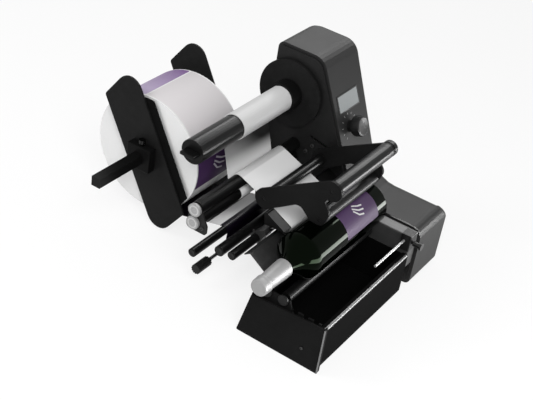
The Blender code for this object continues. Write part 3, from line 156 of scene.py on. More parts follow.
# Floor: a plain pale sheet under the machine, white where it is seen or mirrored, which keeps a
# soft shadow.
floor_half = 6.0
floor_drop = 0.0005
floor_glow_share = 0.80
floor_mesh = bpy.data.meshes.new("floor")
floor_shape = bmesh.new()
bmesh.ops.create_grid(floor_shape, x_segments=1, y_segments=1, size=floor_half)
floor_shape.to_mesh(floor_mesh)
floor_shape.free()
floor = bpy.data.objects.new("floor", floor_mesh)
floor.location.z = -floor_drop
bpy.context.scene.collection.objects.link(floor)


def new_material(name):
    """Material with its tree and its Principled shader."""
    material = bpy.data.materials.new(name)
    material.use_nodes = True
    return material, material.node_tree, material.node_tree.nodes["Principled BSDF"]


floor_paper, tree, shader = new_material("floor_paper")
set_inputs(shader, {"Base Color": (0.9, 0.9, 0.9, 1.0), "Roughness": 0.9})
glow = tree.nodes.new("ShaderNodeEmission").outputs["Emission"]
glow_share = math_node(tree, "MULTIPLY", shown_rays(tree), floor_glow_share)
mix_shaders(tree, glow_share, shader.outputs["BSDF"], glow, tree.nodes["Material Output"])
floor_mesh.materials.append(floor_paper)

# Housing: a bent cover with a powder coat over the drives, closed by the side plate.
# The coat is a shared effect: a fine orange peel, a cloudy tone and edges rubbed lighter.


def effect(name, inputs):
    """Node group that gives a colour, a roughness and a height, with its start and end."""
    group = bpy.data.node_groups.new(name, "ShaderNodeTree")
    sockets = [("INPUT", label, value) for label, value in inputs.items()]
    results = {"Colour": grey(0.0), "Roughness": 0.0, "Height": 0.0}
    sockets += [("OUTPUT", label, value) for label, value in results.items()]
    for side, label, value in sockets:
        kind = "NodeSocketColor" if isinstance(value, tuple) else "NodeSocketFloat"
        group.interface.new_socket(label, in_out=side, socket_type=kind).default_value = value
    return group, group.nodes.new("NodeGroupInput").outputs, group.nodes.new("NodeGroupOutput")


def give(tree, end, colour, base_roughness, change, amount, height):
    """Results of an effect: roughness moves round its base as a value goes from 0 to 1."""
    change = math_node(tree, "MULTIPLY", math_node(tree, "SUBTRACT", change, 0.5), amount)
    tree.links.new(colour, end.inputs["Colour"])
    tree.links.new(math_node(tree, "ADD", base_roughness, change), end.inputs["Roughness"])
    tree.links.new(height, end.inputs["Height"])


def noise(tree, vector, scale, detail=2.0, roughness=0.5):
    """Noise between 0 and 1; the scale is a number or a socket."""
    node = tree.nodes.new("ShaderNodeTexNoise")
    set_inputs(node, {"Detail": detail, "Roughness": roughness})
    tree.links.new(vector, node.inputs["Vector"])
    feed(tree, scale, node.inputs["Scale"])
    return node.outputs["Fac"]


def blend_colour(tree, factor, first, second):
    """Mix of two colours by a factor."""
    node = tree.nodes.new("ShaderNodeMix")
    node.data_type = "RGBA"
    tree.links.new(factor, node.inputs["Factor"])
    feed(tree, first, node.inputs[6])
    feed(tree, second, node.inputs[7])
    return node.outputs[2]


def object_place(tree):
    """Place on the object, in metres."""
    return tree.nodes.new("ShaderNodeTexCoord").outputs["Object"]


def grey(value):
    """Neutral colour."""
    return (value, value, value, 1.0)


coated_metal, start, end = effect(
    "coated_metal",
    {"Colour": grey(0.02), "Worn": grey(0.10), "Roughness": 0.4, "Grain": 900.0, "Wear": 0.5},
)
place = object_place(coated_metal)
cloud = noise(coated_metal, place, 14.0, 3.0)
edge = coated_metal.nodes.new("ShaderNodeNewGeometry").outputs["Pointiness"]
edge = math_node(coated_metal, "SUBTRACT", edge, 0.52)
edge = math_node(coated_metal, "MULTIPLY", edge, 9.0, clamp=True)
rub = math_node(coated_metal, "SUBTRACT", noise(coated_metal, place, 90.0, 4.0, 0.7), 0.35)
edge = math_node(coated_metal, "MULTIPLY", edge, rub)
edge = math_node(coated_metal, "MULTIPLY", edge, start["Wear"], clamp=True)
tone = math_node(coated_metal, "MULTIPLY", cloud, 0.25)
toned = blend_colour(coated_metal, tone, start["Colour"], start["Worn"])
rubbed = blend_colour(coated_metal, edge, toned, start["Worn"])
peel = noise(coated_metal, place, start["Grain"], 1.0)
give(coated_metal, end, rubbed, start["Roughness"], cloud, 0.16, peel)


def add_relief(tree, height, strength, distance=0.0002):
    """Bump of a material's surface."""
    relief = tree.nodes.new("ShaderNodeBump")
    set_inputs(relief, {"Strength": strength, "Distance": distance})
    tree.links.new(height, relief.inputs["Height"])
    tree.links.new(relief.outputs["Normal"], tree.nodes["Principled BSDF"].inputs["Normal"])


def use_effect(tree, group, values):
    """Results of a shared effect in a material."""
    source = tree.nodes.new("ShaderNodeGroup")
    source.node_tree = group
    set_inputs(source, values)
    return source.outputs


def finish_with(name, group, values, bump, specular=0.5, metallic=0.0):
    """Material whose colour, roughness and bump come from a shared effect."""
    material, tree, shader = new_material(name)
    results = use_effect(tree, group, values)
    tree.links.new(results["Colour"], shader.inputs["Base Color"])
    tree.links.new(results["Roughness"], shader.inputs["Roughness"])
    add_relief(tree, results["Height"], bump)
    set_inputs(shader, {"Metallic": metallic, "Specular IOR Level": specular})
    return material


def dress(finish, *names):
    """Give CAD nodes a finish."""
    for name in names:
        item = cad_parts[name]
        item.data.materials.clear()
        item.data.materials.append(finish)


cover_coat = finish_with(
    "satin_cover_coat",
    coated_metal,
    {"Colour": grey(0.015), "Worn": grey(0.042), "Roughness": 0.46, "Grain": 1500.0, "Wear": 0.12},
    0.10,
    specular=0.13,
)
dress(cover_coat, "housing_cover")
plate_coat = finish_with(
    "matt_plate_coat",
    coated_metal,
    {"Colour": grey(0.006), "Worn": grey(0.035), "Roughness": 0.42, "Grain": 1500.0, "Wear": 0.35},
    0.2,
    specular=0.16,
)
dress(plate_coat, "side_plate")


def finished(name, shape, material, body, smooth_angle=35.0):
    """Object made from a bmesh, shaded smooth, that rides on a body."""
    bmesh.ops.recalc_face_normals(shape, faces=shape.faces)
    mesh = bpy.data.meshes.new(name)
    shape.to_mesh(mesh)
    shape.free()
    mesh.shade_smooth()
    mesh.set_sharp_from_angle(angle=math.radians(smooth_angle))
    mesh.materials.append(material)
    item = bpy.data.objects.new(name, mesh)
    bpy.context.scene.collection.objects.link(item)
    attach(item, body)
    return item


def facing(direction):
    """Turn whose own Z points along a direction."""
    return Vector(direction).to_track_quat("Z", "Y").to_matrix().to_4x4()


def skin(shape, rows):
    """Faces between closed rows of points, where a row of one point is a tip."""
    for low, high in zip(rows, rows[1:]):
        steps = max(len(low), len(high))
        for step in range(steps):
            after = (step + 1) % steps
            if len(low) == 1:
                corners = (low[0], high[after], high[step])
            elif len(high) == 1:
                corners = (low[step], low[after], high[0])
            else:
                corners = (low[step], low[after], high[after], high[step])
            shape.faces.new(corners)


def capped_skin(shape, rows):
    """Closed shape over rows of points, with a flat face at each end."""
    skin(shape, rows)
    shape.faces.new(rows[0])
    shape.faces.new(reversed(rows[-1]))


def ring_points(shape, height, reaches):
    """Points round Z at a height, one for each reach."""
    points = []
    for step, reach in enumerate(reaches):
        angle = math.tau * step / len(reaches)
        points.append(shape.verts.new((reach * math.cos(angle), reach * math.sin(angle), height)))
    return points


def lathe(profile, steps=48, flutes=0, flute_depth=0.0, fluted=()):
    """Turned shape about Z from (height, radius) points; some rows may be fluted."""
    shape = bmesh.new()
    rows = []
    for row, (height, radius) in enumerate(profile):
        reaches = [radius] * (steps if radius > 0.0 else 1)
        if row in fluted:
            waves = (math.cos(math.tau * step / steps * flutes) for step in range(steps))
            reaches = [radius - flute_depth * (0.5 + 0.5 * wave) for wave in waves]
        rows.append(ring_points(shape, height, reaches))
    skin(shape, rows)
    return shape


outer_way = (-1.0, 0.0, 0.0)


def placed(shape, place, direction=outer_way):
    """Move a shape made about Z to a place, with its Z along a direction."""
    shape.transform(Matrix.Translation(place) @ facing(direction))
    return shape


def hex_reach(flat_radius, angle):
    """Distance from the axis of a six-sided socket to its wall."""
    return flat_radius / math.cos((angle + math.pi / 6.0) % (math.pi / 3.0) - math.pi / 6.0)


screw_black = finish_with(
    "black_screw_steel",
    coated_metal,
    {"Colour": grey(0.010), "Worn": grey(0.12), "Roughness": 0.34, "Grain": 2600.0, "Wear": 0.6},
    0.3,
    specular=0.3,
)


def cap_screw(name, place, radius, body="machine", direction=outer_way):
    """Socket head screw: a round head with a broken edge and a six-sided socket."""
    steps = 36
    height = radius * 0.9
    angles = [math.tau * step / steps for step in range(steps)]
    socket = [hex_reach(radius * 0.50, angle) for angle in angles]
    shape = bmesh.new()
    rows = (
        (0.0, [radius] * steps),
        (height - radius * 0.14, [radius] * steps),
        (height, [radius * 0.88] * steps),
        (height, socket),
        (height * 0.35, socket),
    )
    capped_skin(shape, [ring_points(shape, level, reaches) for level, reaches in rows])
    finished(name, placed(shape, place, direction), screw_black, body)


plate_x = 0.2695
plate_screw_radius = 0.0032
for number, (screw_y, screw_z) in enumerate(((0.209, 0.164), (0.219, 0.150), (0.286, 0.138)), 1):
    cap_screw("plate_screw_%d" % number, at(plate_x, screw_y, screw_z), plate_screw_radius)
# Light metal finish for the rings on the nip caps and for the painted highlight strip on the deck edge.
polished_edge = finish_with(
    "polished_edge",
    coated_metal,
    {"Colour": grey(0.46), "Worn": grey(0.60), "Roughness": 0.36, "Grain": 900.0, "Wear": 0.5},
    0.1,
    metallic=0.2,
)
# A light strip along the near edge of the deck, narrowing as it turns down the nose: a painted highlight
# of the light on the cover's rounded edge.
edge_strip = bmesh.new()
strip_x = 0.2736
bend_y, bend_z, bend_radius = 0.0185, 0.0890, 0.0187
strip_points = [
    (0.064, 0.1072, 0.0002),
    (0.058, 0.1074, 0.0006),
    (0.040, 0.10755, 0.0008),
    (0.0215, 0.1076, 0.0009),
]
for step in range(1, 6):
    turn = math.radians(90.0 + 78.0 * step / 5)
    y = bend_y + bend_radius * math.cos(turn)
    z = bend_z + bend_radius * math.sin(turn)
    strip_points.append((y, z, 0.0009 - 0.00014 * step))
strip_section = ((-1.0, 0.0014), (-0.9, 0.0004), (0.0, 0.0), (0.9, 0.0003), (1.0, 0.0014))
edge_rows = []
for y, z, half in strip_points:
    inward = Vector((0.0, max(bend_y - y, 0.0), bend_z - z)).normalized()
    spots = [at(strip_x + half * share, y, z) + inward * drop for share, drop in strip_section]
    edge_rows.append([edge_strip.verts.new(spot) for spot in spots])
capped_skin(edge_strip, edge_rows)
finished("deck_edge_painted_highlight", edge_strip, polished_edge, "machine")

# Display: a small character display under a clear window, set into the slope of the tower,
# and a turning knob below it with a printed scale.
display_glass, tree, shader = new_material("display_window")
place = object_place(tree)
cells = tree.nodes.new("ShaderNodeTexBrick")
cells.offset = 0.0
cell_sizes = {"Scale": 1.0, "Brick Width": 0.00062, "Row Height": 0.0007, "Mortar Size": 0.00006}
cell_colours = {"Color1": (0.29, 0.31, 0.315, 1.0), "Color2": (0.275, 0.295, 0.30, 1.0)}
set_inputs(cells, {**cell_sizes, **cell_colours, "Mortar": (0.27, 0.29, 0.295, 1.0)})
tree.links.new(place, cells.inputs["Vector"])
tree.links.new(cells.outputs["Color"], shader.inputs["Base Color"])


def roughen(tree, pattern, amount, base):
    """Roughness of a material that rises from its base with a pattern."""
    roughness = math_node(tree, "ADD", math_node(tree, "MULTIPLY", pattern, amount), base)
    tree.links.new(roughness, tree.nodes["Principled BSDF"].inputs["Roughness"])


roughen(tree, noise(tree, place, 60.0, 3.0), 0.12, 0.10)
set_inputs(shader, {"Coat Weight": 0.3, "Coat Roughness": 0.06})
dress(display_glass, "display")

slope_foot_y, slope_foot_z = 0.127, 0.1075
slope_head_y, slope_head_z = 0.2176, 0.312
slope_angle = math.atan2(slope_head_z - slope_foot_z, slope_head_y - slope_foot_y)
slope_out = Vector((0.0, -math.sin(slope_angle), math.cos(slope_angle)))
slope_up = Vector((0.0, math.cos(slope_angle), math.sin(slope_angle)))


def slope_point(x, z, lift):
    """Point on the slope of the tower at a height, lifted off it."""
    y = slope_foot_y + (z - slope_foot_z) / math.tan(slope_angle)
    return at(x, y, z) + slope_out * lift


box_corners = ((-1, -1), (1, -1), (1, 1), (-1, 1))


def box_loop(shape, centre, right, up, out, width, height, inner, depth):
    """Rectangular frame lying on a plane: outer and inner edges with a rounded front."""
    rows = []
    for inset, lift in ((0.0, 0.0), (0.0, 0.7), (0.3, 1.0), (1.0, 1.0), (1.0, 0.0)):
        across = right * (width / 2.0 - inner * inset)
        upward = up * (height / 2.0 - inner * inset)
        middle = centre + out * (depth * lift)
        rows.append([shape.verts.new(middle + across * sx + upward * sy) for sx, sy in box_corners])
    skin(shape, rows + rows[:1])


right = Vector((1.0, 0.0, 0.0))
frame_shape = bmesh.new()
frame_centre = slope_point(0.3132, 0.2397, 0.0002)
box_loop(frame_shape, frame_centre, right, slope_up, slope_out, 0.0600, 0.0290, 0.0016, 0.0008)
finished("display_frame", frame_shape, screw_black, "machine")

scale_white = finish_with(
    "printed_scale",
    coated_metal,
    {"Colour": grey(0.42), "Worn": grey(0.30), "Roughness": 0.5, "Grain": 3000.0, "Wear": 0.2},
    0.1,
)
ticks = bmesh.new()
tick_ring = 0.0205
tick_half_long, tick_half_wide = 0.0016, 0.00035
knob_centre = slope_point(0.3047, 0.2033, 0.0)
for step in range(11):
    angle = math.radians(230.0 - 28.0 * step)
    outward = right * math.cos(angle) + slope_up * math.sin(angle)
    across = slope_out.cross(outward)
    rows = []
    for lift in (-0.0004, 0.00012):
        centre = knob_centre + outward * tick_ring + slope_out * lift
        sides = outward * tick_half_long, across * tick_half_wide
        rows.append([ticks.verts.new(centre + sides[0] * sx + sides[1] * sy) for sx, sy in box_corners])
    capped_skin(ticks, rows)
finished("knob_scale", ticks, scale_white, "machine")

knob_plastic = finish_with(
    "knob_plastic",
    coated_metal,
    {"Colour": grey(0.006), "Worn": grey(0.03), "Roughness": 0.32, "Grain": 1800.0, "Wear": 0.5},
    0.2,
    specular=0.15,
)
knob_end = knob_centre + slope_out * 0.0245
knob_profile = (
    (-0.0242, 0.0),
    (-0.0242, 0.0095),
    (-0.0150, 0.0095),
    (-0.0142, 0.0105),
    (-0.0138, 0.0158),
    (-0.0125, 0.0165),
    (-0.0022, 0.0162),
    (-0.0006, 0.0156),
    (0.0000, 0.0145),
    (0.0000, 0.0),
)
knob_shape = lathe(knob_profile, 96, flutes=24, flute_depth=0.0005, fluted=(5, 6))
knob_shape = placed(knob_shape, knob_end, slope_out)
knob_body = finished("knob_body", knob_shape, knob_plastic, "encoder_knob")
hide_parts("encoder_knob")
cap_metal = finish_with(
    "knob_end_cap",
    coated_metal,
    {"Colour": grey(0.022), "Worn": grey(0.08), "Roughness": 0.34, "Grain": 2400.0, "Wear": 0.6},
    0.2,
    specular=0.3,
)
cap_profile = (
    (-0.0006, 0.0),
    (-0.0006, 0.0138),
    (0.0003, 0.0138),
    (0.0007, 0.0131),
    (0.0004, 0.0124),
    (0.0004, 0.0),
)
cap_shape = placed(lathe(cap_profile), knob_end, slope_out)
finished("knob_cap", cap_shape, cap_metal, "encoder_knob")
pointer = bmesh.new()
bmesh.ops.create_cube(pointer, size=1.0)
pointer_size = (0.0011, 0.0075, 0.0004)
pointer_shift = (0.0, 0.0085, 0.0006)
bmesh.ops.scale(pointer, vec=pointer_size, verts=pointer.verts)
bmesh.ops.bevel(pointer, geom=pointer.edges[:], offset=0.00015, segments=2, affect="EDGES")
bmesh.ops.translate(pointer, vec=pointer_shift, verts=pointer.verts)
slope_axes = Matrix((right, slope_up, slope_out)).transposed().to_4x4()
pointer.transform(Matrix.Translation(knob_end) @ slope_axes)
finished("knob_pointer", pointer, scale_white, "encoder_knob")

# Mains inlet, rocker switch and feet: black moulded plastic pushed into the back of the housing,
# with the two marks printed on the switch, and four turned rubber feet screwed on below.
moulded_black = finish_with(
    "moulded_plastic",
    coated_metal,
    {"Colour": grey(0.018), "Worn": grey(0.06), "Roughness": 0.42, "Grain": 1600.0, "Wear": 0.4},
    0.3,
    specular=0.4,
)
dress(moulded_black, "power_inlet", "switch_frame", "power_switch")


def stretched(tree, place, share):
    """Place drawn out across the X axis, for marks that run round a turned piece."""
    node = tree.nodes.new("ShaderNodeMapping")
    node.inputs["Scale"].default_value = (1.0, share, share)
    tree.links.new(place, node.inputs["Vector"])
    return node.outputs["Vector"]


ground_rubber, start, end = effect(
    "ground_rubber",
    {"Colour": grey(0.012), "Dust": grey(0.05), "Roughness": 0.6, "Pitch": 1400.0},
)
place = object_place(ground_rubber)
rings = noise(ground_rubber, stretched(ground_rubber, place, 0.12), start["Pitch"], 2.0)
dust = math_node(ground_rubber, "MULTIPLY", noise(ground_rubber, place, 40.0, 4.0, 0.65), 0.5)
dusted = blend_colour(ground_rubber, dust, start["Colour"], start["Dust"])
give(ground_rubber, end, dusted, start["Roughness"], rings, 0.2, rings)
foot_rubber = finish_with(
    "foot_rubber",
    ground_rubber,
    {"Colour": grey(0.014), "Dust": grey(0.05), "Roughness": 0.75, "Pitch": 900.0},
    0.4,
    specular=0.3,
)
dress(foot_rubber, *("foot_%d" % number for number in (1, 2, 3, 4)))

marks = bmesh.new()
switch_face = at(0.3258, 0.30262, 0.045)
mark_rise = 0.0042
ring_steps = 12
for step in range(ring_steps):
    low = math.tau * step / ring_steps
    high = math.tau * (step + 1) / ring_steps
    corners = []
    for angle, reach in ((low, 0.0012), (high, 0.0012), (high, 0.0016), (low, 0.0016)):
        spot = Vector((reach * math.cos(angle), 0.0, reach * math.sin(angle) - mark_rise))
        corners.append(marks.verts.new(switch_face + spot))
    marks.faces.new(corners)
bar_spots = [Vector((0.0002 * sx, 0.0, 0.0015 * sz + mark_rise)) for sx, sz in box_corners]
marks.faces.new([marks.verts.new(switch_face + spot) for spot in bar_spots])
bmesh.ops.remove_doubles(marks, verts=marks.verts, dist=0.00001)
bmesh.ops.solidify(marks, geom=marks.faces[:], thickness=0.0003)
finished("switch_marks", marks, scale_white, "power_switch")

# Drives and control board: geared motors with ground steel cans and a green board behind the
# back wall of the tower, all inside the housing.
turned_metal, start, end = effect(
    "turned_metal",
    {"Colour": grey(0.62), "Stain": grey(0.45), "Roughness": 0.28, "Pitch": 2400.0},
)
place = object_place(turned_metal)
lines = noise(turned_metal, stretched(turned_metal, place, 0.05), start["Pitch"], 3.0)
stain = math_node(turned_metal, "MULTIPLY", noise(turned_metal, place, 30.0, 4.0, 0.6), 0.7)
stained = blend_colour(turned_metal, stain, start["Colour"], start["Stain"])
give(turned_metal, end, stained, start["Roughness"], lines, 0.08, lines)
ground_steel = finish_with(
    "ground_steel",
    turned_metal,
    {"Colour": grey(0.55), "Stain": grey(0.36), "Roughness": 0.26, "Pitch": 2600.0},
    0.2,
    metallic=1.0,
)
dress(ground_steel, "drive_motor", "rewind_motor", "cradle_motor")

board_coat, tree, shader = new_material("circuit_board")
place = object_place(tree)
tracks = tree.nodes.new("ShaderNodeTexBrick")
track_sizes = {"Scale": 1.0, "Brick Width": 0.009, "Row Height": 0.0022, "Mortar Size": 0.00035}
track_colours = {"Color1": (0.012, 0.11, 0.04, 1.0), "Color2": (0.016, 0.13, 0.05, 1.0)}
set_inputs(tracks, {**track_sizes, **track_colours, "Mortar": (0.05, 0.26, 0.12, 1.0)})
turned = tree.nodes.new("ShaderNodeMapping")
turned.inputs["Rotation"].default_value = (0.0, math.radians(90.0), math.radians(90.0))
tree.links.new(place, turned.inputs["Vector"])
tree.links.new(turned.outputs["Vector"], tracks.inputs["Vector"])
tree.links.new(tracks.outputs["Color"], shader.inputs["Base Color"])
roughen(tree, noise(tree, place, 300.0, 2.0), 0.2, 0.28)
dress(board_coat, "control_board")

# Nip rollers: two rubber-covered rollers that pull the liner, each with a turned cap on its
# outer end, held together by a black link plate.
roller_rubber = finish_with(
    "nip_rubber",
    ground_rubber,
    {"Colour": grey(0.002), "Dust": grey(0.006), "Roughness": 0.38, "Pitch": 1500.0},
    0.06,
    specular=0.10,
)
dress(roller_rubber, "nip_roller_upper", "nip_roller_lower", "cradle_roller_front", "cradle_roller_rear")
press_rubber = finish_with(
    "press_rubber",
    ground_rubber,
    {"Colour": grey(0.004), "Dust": grey(0.012), "Roughness": 0.38, "Pitch": 1500.0},
    0.08,
    specular=0.12,
)
dress(press_rubber, "press_roller")

turned_rings, start, end = effect(
    "turned_rings",
    {
        "Colour": grey(0.7),
        "Groove": grey(0.4),
        "Roughness": 0.3,
        "Pitch": 0.0006,
        "Centre Y": 0.0,
        "Centre Z": 0.0,
    },
)


def axis_values(tree, place):
    """X, Y and Z of a place."""
    node = tree.nodes.new("ShaderNodeSeparateXYZ")
    tree.links.new(place, node.inputs["Vector"])
    return node.outputs


place = object_place(turned_rings)
apart = axis_values(turned_rings, place)
off_y = math_node(turned_rings, "SUBTRACT", apart["Y"], start["Centre Y"])
off_z = math_node(turned_rings, "SUBTRACT", apart["Z"], start["Centre Z"])
square_y = math_node(turned_rings, "MULTIPLY", off_y, off_y)
square_z = math_node(turned_rings, "MULTIPLY", off_z, off_z)
radial = math_node(turned_rings, "SQRT", math_node(turned_rings, "ADD", square_y, square_z))
turns = math_node(turned_rings, "DIVIDE", radial, start["Pitch"])
wave = math_node(turned_rings, "SINE", math_node(turned_rings, "MULTIPLY", turns, math.tau))
wave = math_node(turned_rings, "ADD", math_node(turned_rings, "MULTIPLY", wave, 0.35), 0.5)
cloudy = math_node(turned_rings, "MULTIPLY", wave, noise(turned_rings, place, 240.0, 3.0))
grooved = blend_colour(turned_rings, cloudy, start["Colour"], start["Groove"])
give(turned_rings, end, grooved, start["Roughness"], wave, 0.15, wave)
cap_ring = ((-0.001, 0.0076), (0.0002, 0.0076), (0.0005, 0.0070), (0.0003, 0.0062), (-0.001, 0.0062))
for name, centre_y, centre_z in (("upper", 0.2412, 0.1538), ("lower", 0.242, 0.1317)):
    seat = at(0.0075, centre_y, centre_z)
    cap_finish = finish_with(
        "turned_cap_" + name,
        turned_rings,
        {
            "Colour": grey(0.34),
            "Groove": grey(0.22),
            "Roughness": 0.45,
            "Pitch": 0.0030,
            "Centre Y": seat.y,
            "Centre Z": seat.z,
        },
        0.35,
        metallic=0.35,
    )
    dress(cap_finish, "nip_cap_" + name)
    ring = placed(lathe(cap_ring), seat)
    finished("nip_cap_ring_" + name, ring, polished_edge, "nip_" + name)
dress(plate_coat, "nip_link_plate")
cap_screw("link_screw", at(0.0118, 0.2265, 0.1275), 0.0026)

# Rods and idle rollers: turned black tubes that stand out from the side plate under the web,
# and below them a thin steel rod with the tension knob of the brake.
rod_black = finish_with(
    "anodised_rod",
    turned_metal,
    {"Colour": grey(0.003), "Stain": grey(0.006), "Roughness": 0.30, "Pitch": 1900.0},
    0.03,
    specular=0.11,
)
dress(rod_black, "idle_roller_low", "idle_roller_high", "sensor_rod", "supply_bar")
dress(ground_steel, "brake_rod", "pivot_shaft")
dress(knob_plastic, "brake_knob")
for name, rod_y, rod_z, radius, body in (
    ("low", 0.254, 0.056, 0.007, "idle_low"),
    ("high", 0.2078, 0.0838, 0.0083, "idle_high"),
    ("fixed", 0.186, 0.087, 0.007, "machine"),
):
    cup_profile = (
        (-0.0004, radius * 0.72),
        (0.0004, radius * 0.72),
        (0.0006, radius * 0.60),
        (0.0002, radius * 0.46),
        (0.0002, 0.0),
    )
    cup = placed(lathe(cup_profile, 40), at(0.036, rod_y, rod_z))
    finished("rod_end_" + name, cup, knob_plastic, body)

# Peel bar, apron and label sensor: folded and machined black sheet the label strip runs over,
# and a fork that looks at the near edge of the strip.
dress(rod_black, "peel_bar")
head_grey = finish_with(
    "folded_sheet",
    coated_metal,
    {"Colour": grey(0.014), "Worn": grey(0.08), "Roughness": 0.40, "Grain": 1300.0, "Wear": 0.5},
    0.2,
    specular=0.3,
)
dress(head_grey, "apron")
dress(moulded_black, "label_sensor")
cap_screw("sensor_screw", at(0.0978, 0.1905, 0.0985), 0.0021, "label_sensor")

# Supply bar, its arm and the two guide plates: a square black bar on a cast foot, and laser-cut
# plates on clamps that keep the roll in line, each held by a small turned screw. A thin black
# sheet on the near plate, against the roll's side, is a painted shadow of the plate on the roll.
plate_sheet = finish_with(
    "guide_sheet",
    coated_metal,
    {"Colour": grey(0.0055), "Worn": grey(0.035), "Roughness": 0.42, "Grain": 1300.0, "Wear": 0.4},
    0.2,
    specular=0.045,
)
dress(plate_sheet, "guide_plate_near", "guide_plate_far", "supply_arm")
deep_black = finish_with(
    "deep_black_cast",
    coated_metal,
    {"Colour": grey(0.0022), "Worn": grey(0.016), "Roughness": 0.46, "Grain": 1300.0, "Wear": 0.4},
    0.25,
    specular=0.05,
)
dress(deep_black, "guide_clamp_near", "guide_clamp_far")
# Near-black sheet on the near guide plate: a painted shadow of the plate falling on the roll's side.
pad_felt = finish_with(
    "pad_felt",
    ground_rubber,
    {"Colour": grey(0.0025), "Dust": grey(0.009), "Roughness": 0.9, "Pitch": 2600.0},
    0.4,
    specular=0.04,
)
roll_y, roll_z = 0.411, 0.125
tilt = math.radians(30.0)
along_plate = Vector((0.0, math.sin(tilt), math.cos(tilt)))
off_plate = Vector((0.0, -math.cos(tilt), math.sin(tilt)))
pad_rim = 0.0962
low_angle = math.acos(0.030 / pad_rim)
high_angle = math.acos(0.054 / pad_rim)
outline = []
for side in (1.0, -1.0):
    for step in range(7):
        share = step / 6 if side > 0.0 else 1.0 - step / 6
        turn = low_angle + (high_angle - low_angle) * share
        outline.append((side * pad_rim * math.sin(turn), pad_rim * math.cos(turn)))
pad = bmesh.new()
faces = []
for x in (0.1102, 0.1108):
    middle = at(x, roll_y, roll_z)
    faces.append([pad.verts.new(middle + along_plate * run + off_plate * out) for run, out in outline])
capped_skin(pad, faces)
finished("guide_painted_shadow_pad_near", pad, pad_felt, "guide_near", 40.0)
thumb_finish = finish_with(
    "thumb_screw_metal",
    turned_metal,
    {"Colour": grey(0.045), "Stain": grey(0.02), "Roughness": 0.3, "Pitch": 2600.0},
    0.2,
    metallic=1.0,
)
dress(thumb_finish, "clamp_screw_near", "clamp_screw_far")
for number, screw_z in enumerate((0.105, 0.145), 1):
    seat = at(0.310, 0.3085, screw_z)
    cap_screw("arm_foot_screw_%d" % number, seat, 0.0035, direction=(0.0, 1.0, 0.0))

# Label roll: a roll of small printed labels on a white liner, wound on a black core that turns
# on the supply bar. The side of the roll shows the edges of its turns.
paper_grain, start, end = effect(
    "paper_grain",
    {"Colour": grey(0.8), "Shade": grey(0.6), "Roughness": 0.6, "Scale": 700.0},
)
place = object_place(paper_grain)
fibres = noise(paper_grain, place, start["Scale"], 4.0, 0.6)
broad = math_node(paper_grain, "MULTIPLY", noise(paper_grain, place, 18.0, 2.0), 0.6)
shaded = blend_colour(paper_grain, broad, start["Colour"], start["Shade"])
give(paper_grain, end, shaded, start["Roughness"], fibres, 0.2, fibres)
roll_radius = 0.097
roll_middle = at(0.0, roll_y, roll_z)
roll_paper = finish_with(
    "wound_paper",
    turned_rings,
    {
        "Colour": grey(0.66),
        "Groove": grey(0.61),
        "Roughness": 0.55,
        "Pitch": 0.0012,
        "Centre Y": roll_middle.y,
        "Centre Z": roll_middle.z,
    },
    0.08,
    specular=0.3,
)
dress(roll_paper, "label_roll")
dress(moulded_black, "core_hub")


def print_with_painted_light(name, painted_light_near_colour, painted_shade_far_colour, span, roughness):
    """Printed label stock, lighter at the near end and darker at the far end along the machine's X:
    painted light and shade over the print's own colour.
    """
    material, tree, shader = new_material(name)
    place = object_place(tree)
    share = tree.nodes.new("ShaderNodeMapRange")
    near_x, far_x = (at(x, 0.0, 0.0).x for x in span)
    set_inputs(share, {"From Min": near_x, "From Max": far_x})
    tree.links.new(axis_values(tree, place)["X"], share.inputs["Value"])
    # Painted light at the near end fading to painted shade towards the housing.
    shaded_ink = blend_colour(tree, share.outputs["Result"], painted_light_near_colour, painted_shade_far_colour)
    speckle = math_node(tree, "MULTIPLY", noise(tree, place, 1500.0, 2.0), 0.03)
    inked = blend_colour(tree, speckle, shaded_ink, grey(0.9))
    tree.links.new(inked, shader.inputs["Base Color"])
    roughen(tree, noise(tree, place, 200.0, 2.0), 0.15, roughness)
    shader.inputs["Specular IOR Level"].default_value = 0.14
    return material


def round_x(centre, radius, x, angle):
    """Point at an angle round an axis along X."""
    return at(x, *centre) + Vector((0.0, math.cos(angle) * radius, math.sin(angle) * radius))


def label_patch(name, finish, span, centre, radius, low, high, body):
    """Label on a roll or bottle: a thin sheet with round corners, bent round the X axis."""
    rows = 28
    corner = 0.002
    sheet_in, sheet_out = radius - 0.0004, radius + 0.00012
    half = math.radians(high - low) / 2.0
    centre_angle = math.radians(high + low) / 2.0
    near_x, far_x = span
    shape = bmesh.new()
    inner = []
    outer = []
    for row in range(rows + 1):
        across = -math.cos(math.pi * row / rows)
        from_edge = half * radius * (1.0 - abs(across))
        cut = 0.0
        if from_edge < corner:
            cut = corner - math.sqrt(max(corner ** 2 - (corner - from_edge) ** 2, 0.0))
        angle = centre_angle + half * across
        columns = (near_x + cut, (near_x + far_x) / 2.0, far_x - cut)
        for reach, sheet in ((sheet_in, inner), (sheet_out, outer)):
            spots = [round_x(centre, reach, x, angle) for x in columns]
            sheet.append([shape.verts.new(spot) for spot in spots])
    for row in range(rows):
        for column in range(2):
            for sheet in (inner, outer):
                near, far = sheet[row], sheet[row + 1]
                shape.faces.new((near[column], near[column + 1], far[column + 1], far[column]))
        for column in (0, 2):
            sides = inner[row], inner[row + 1], outer[row + 1], outer[row]
            shape.faces.new([side[column] for side in sides])
    for row in (0, rows):
        near, far = inner[row], outer[row]
        for column in range(2):
            shape.faces.new((near[column], near[column + 1], far[column + 1], far[column]))
    finished(name, shape, finish, body, 30.0)
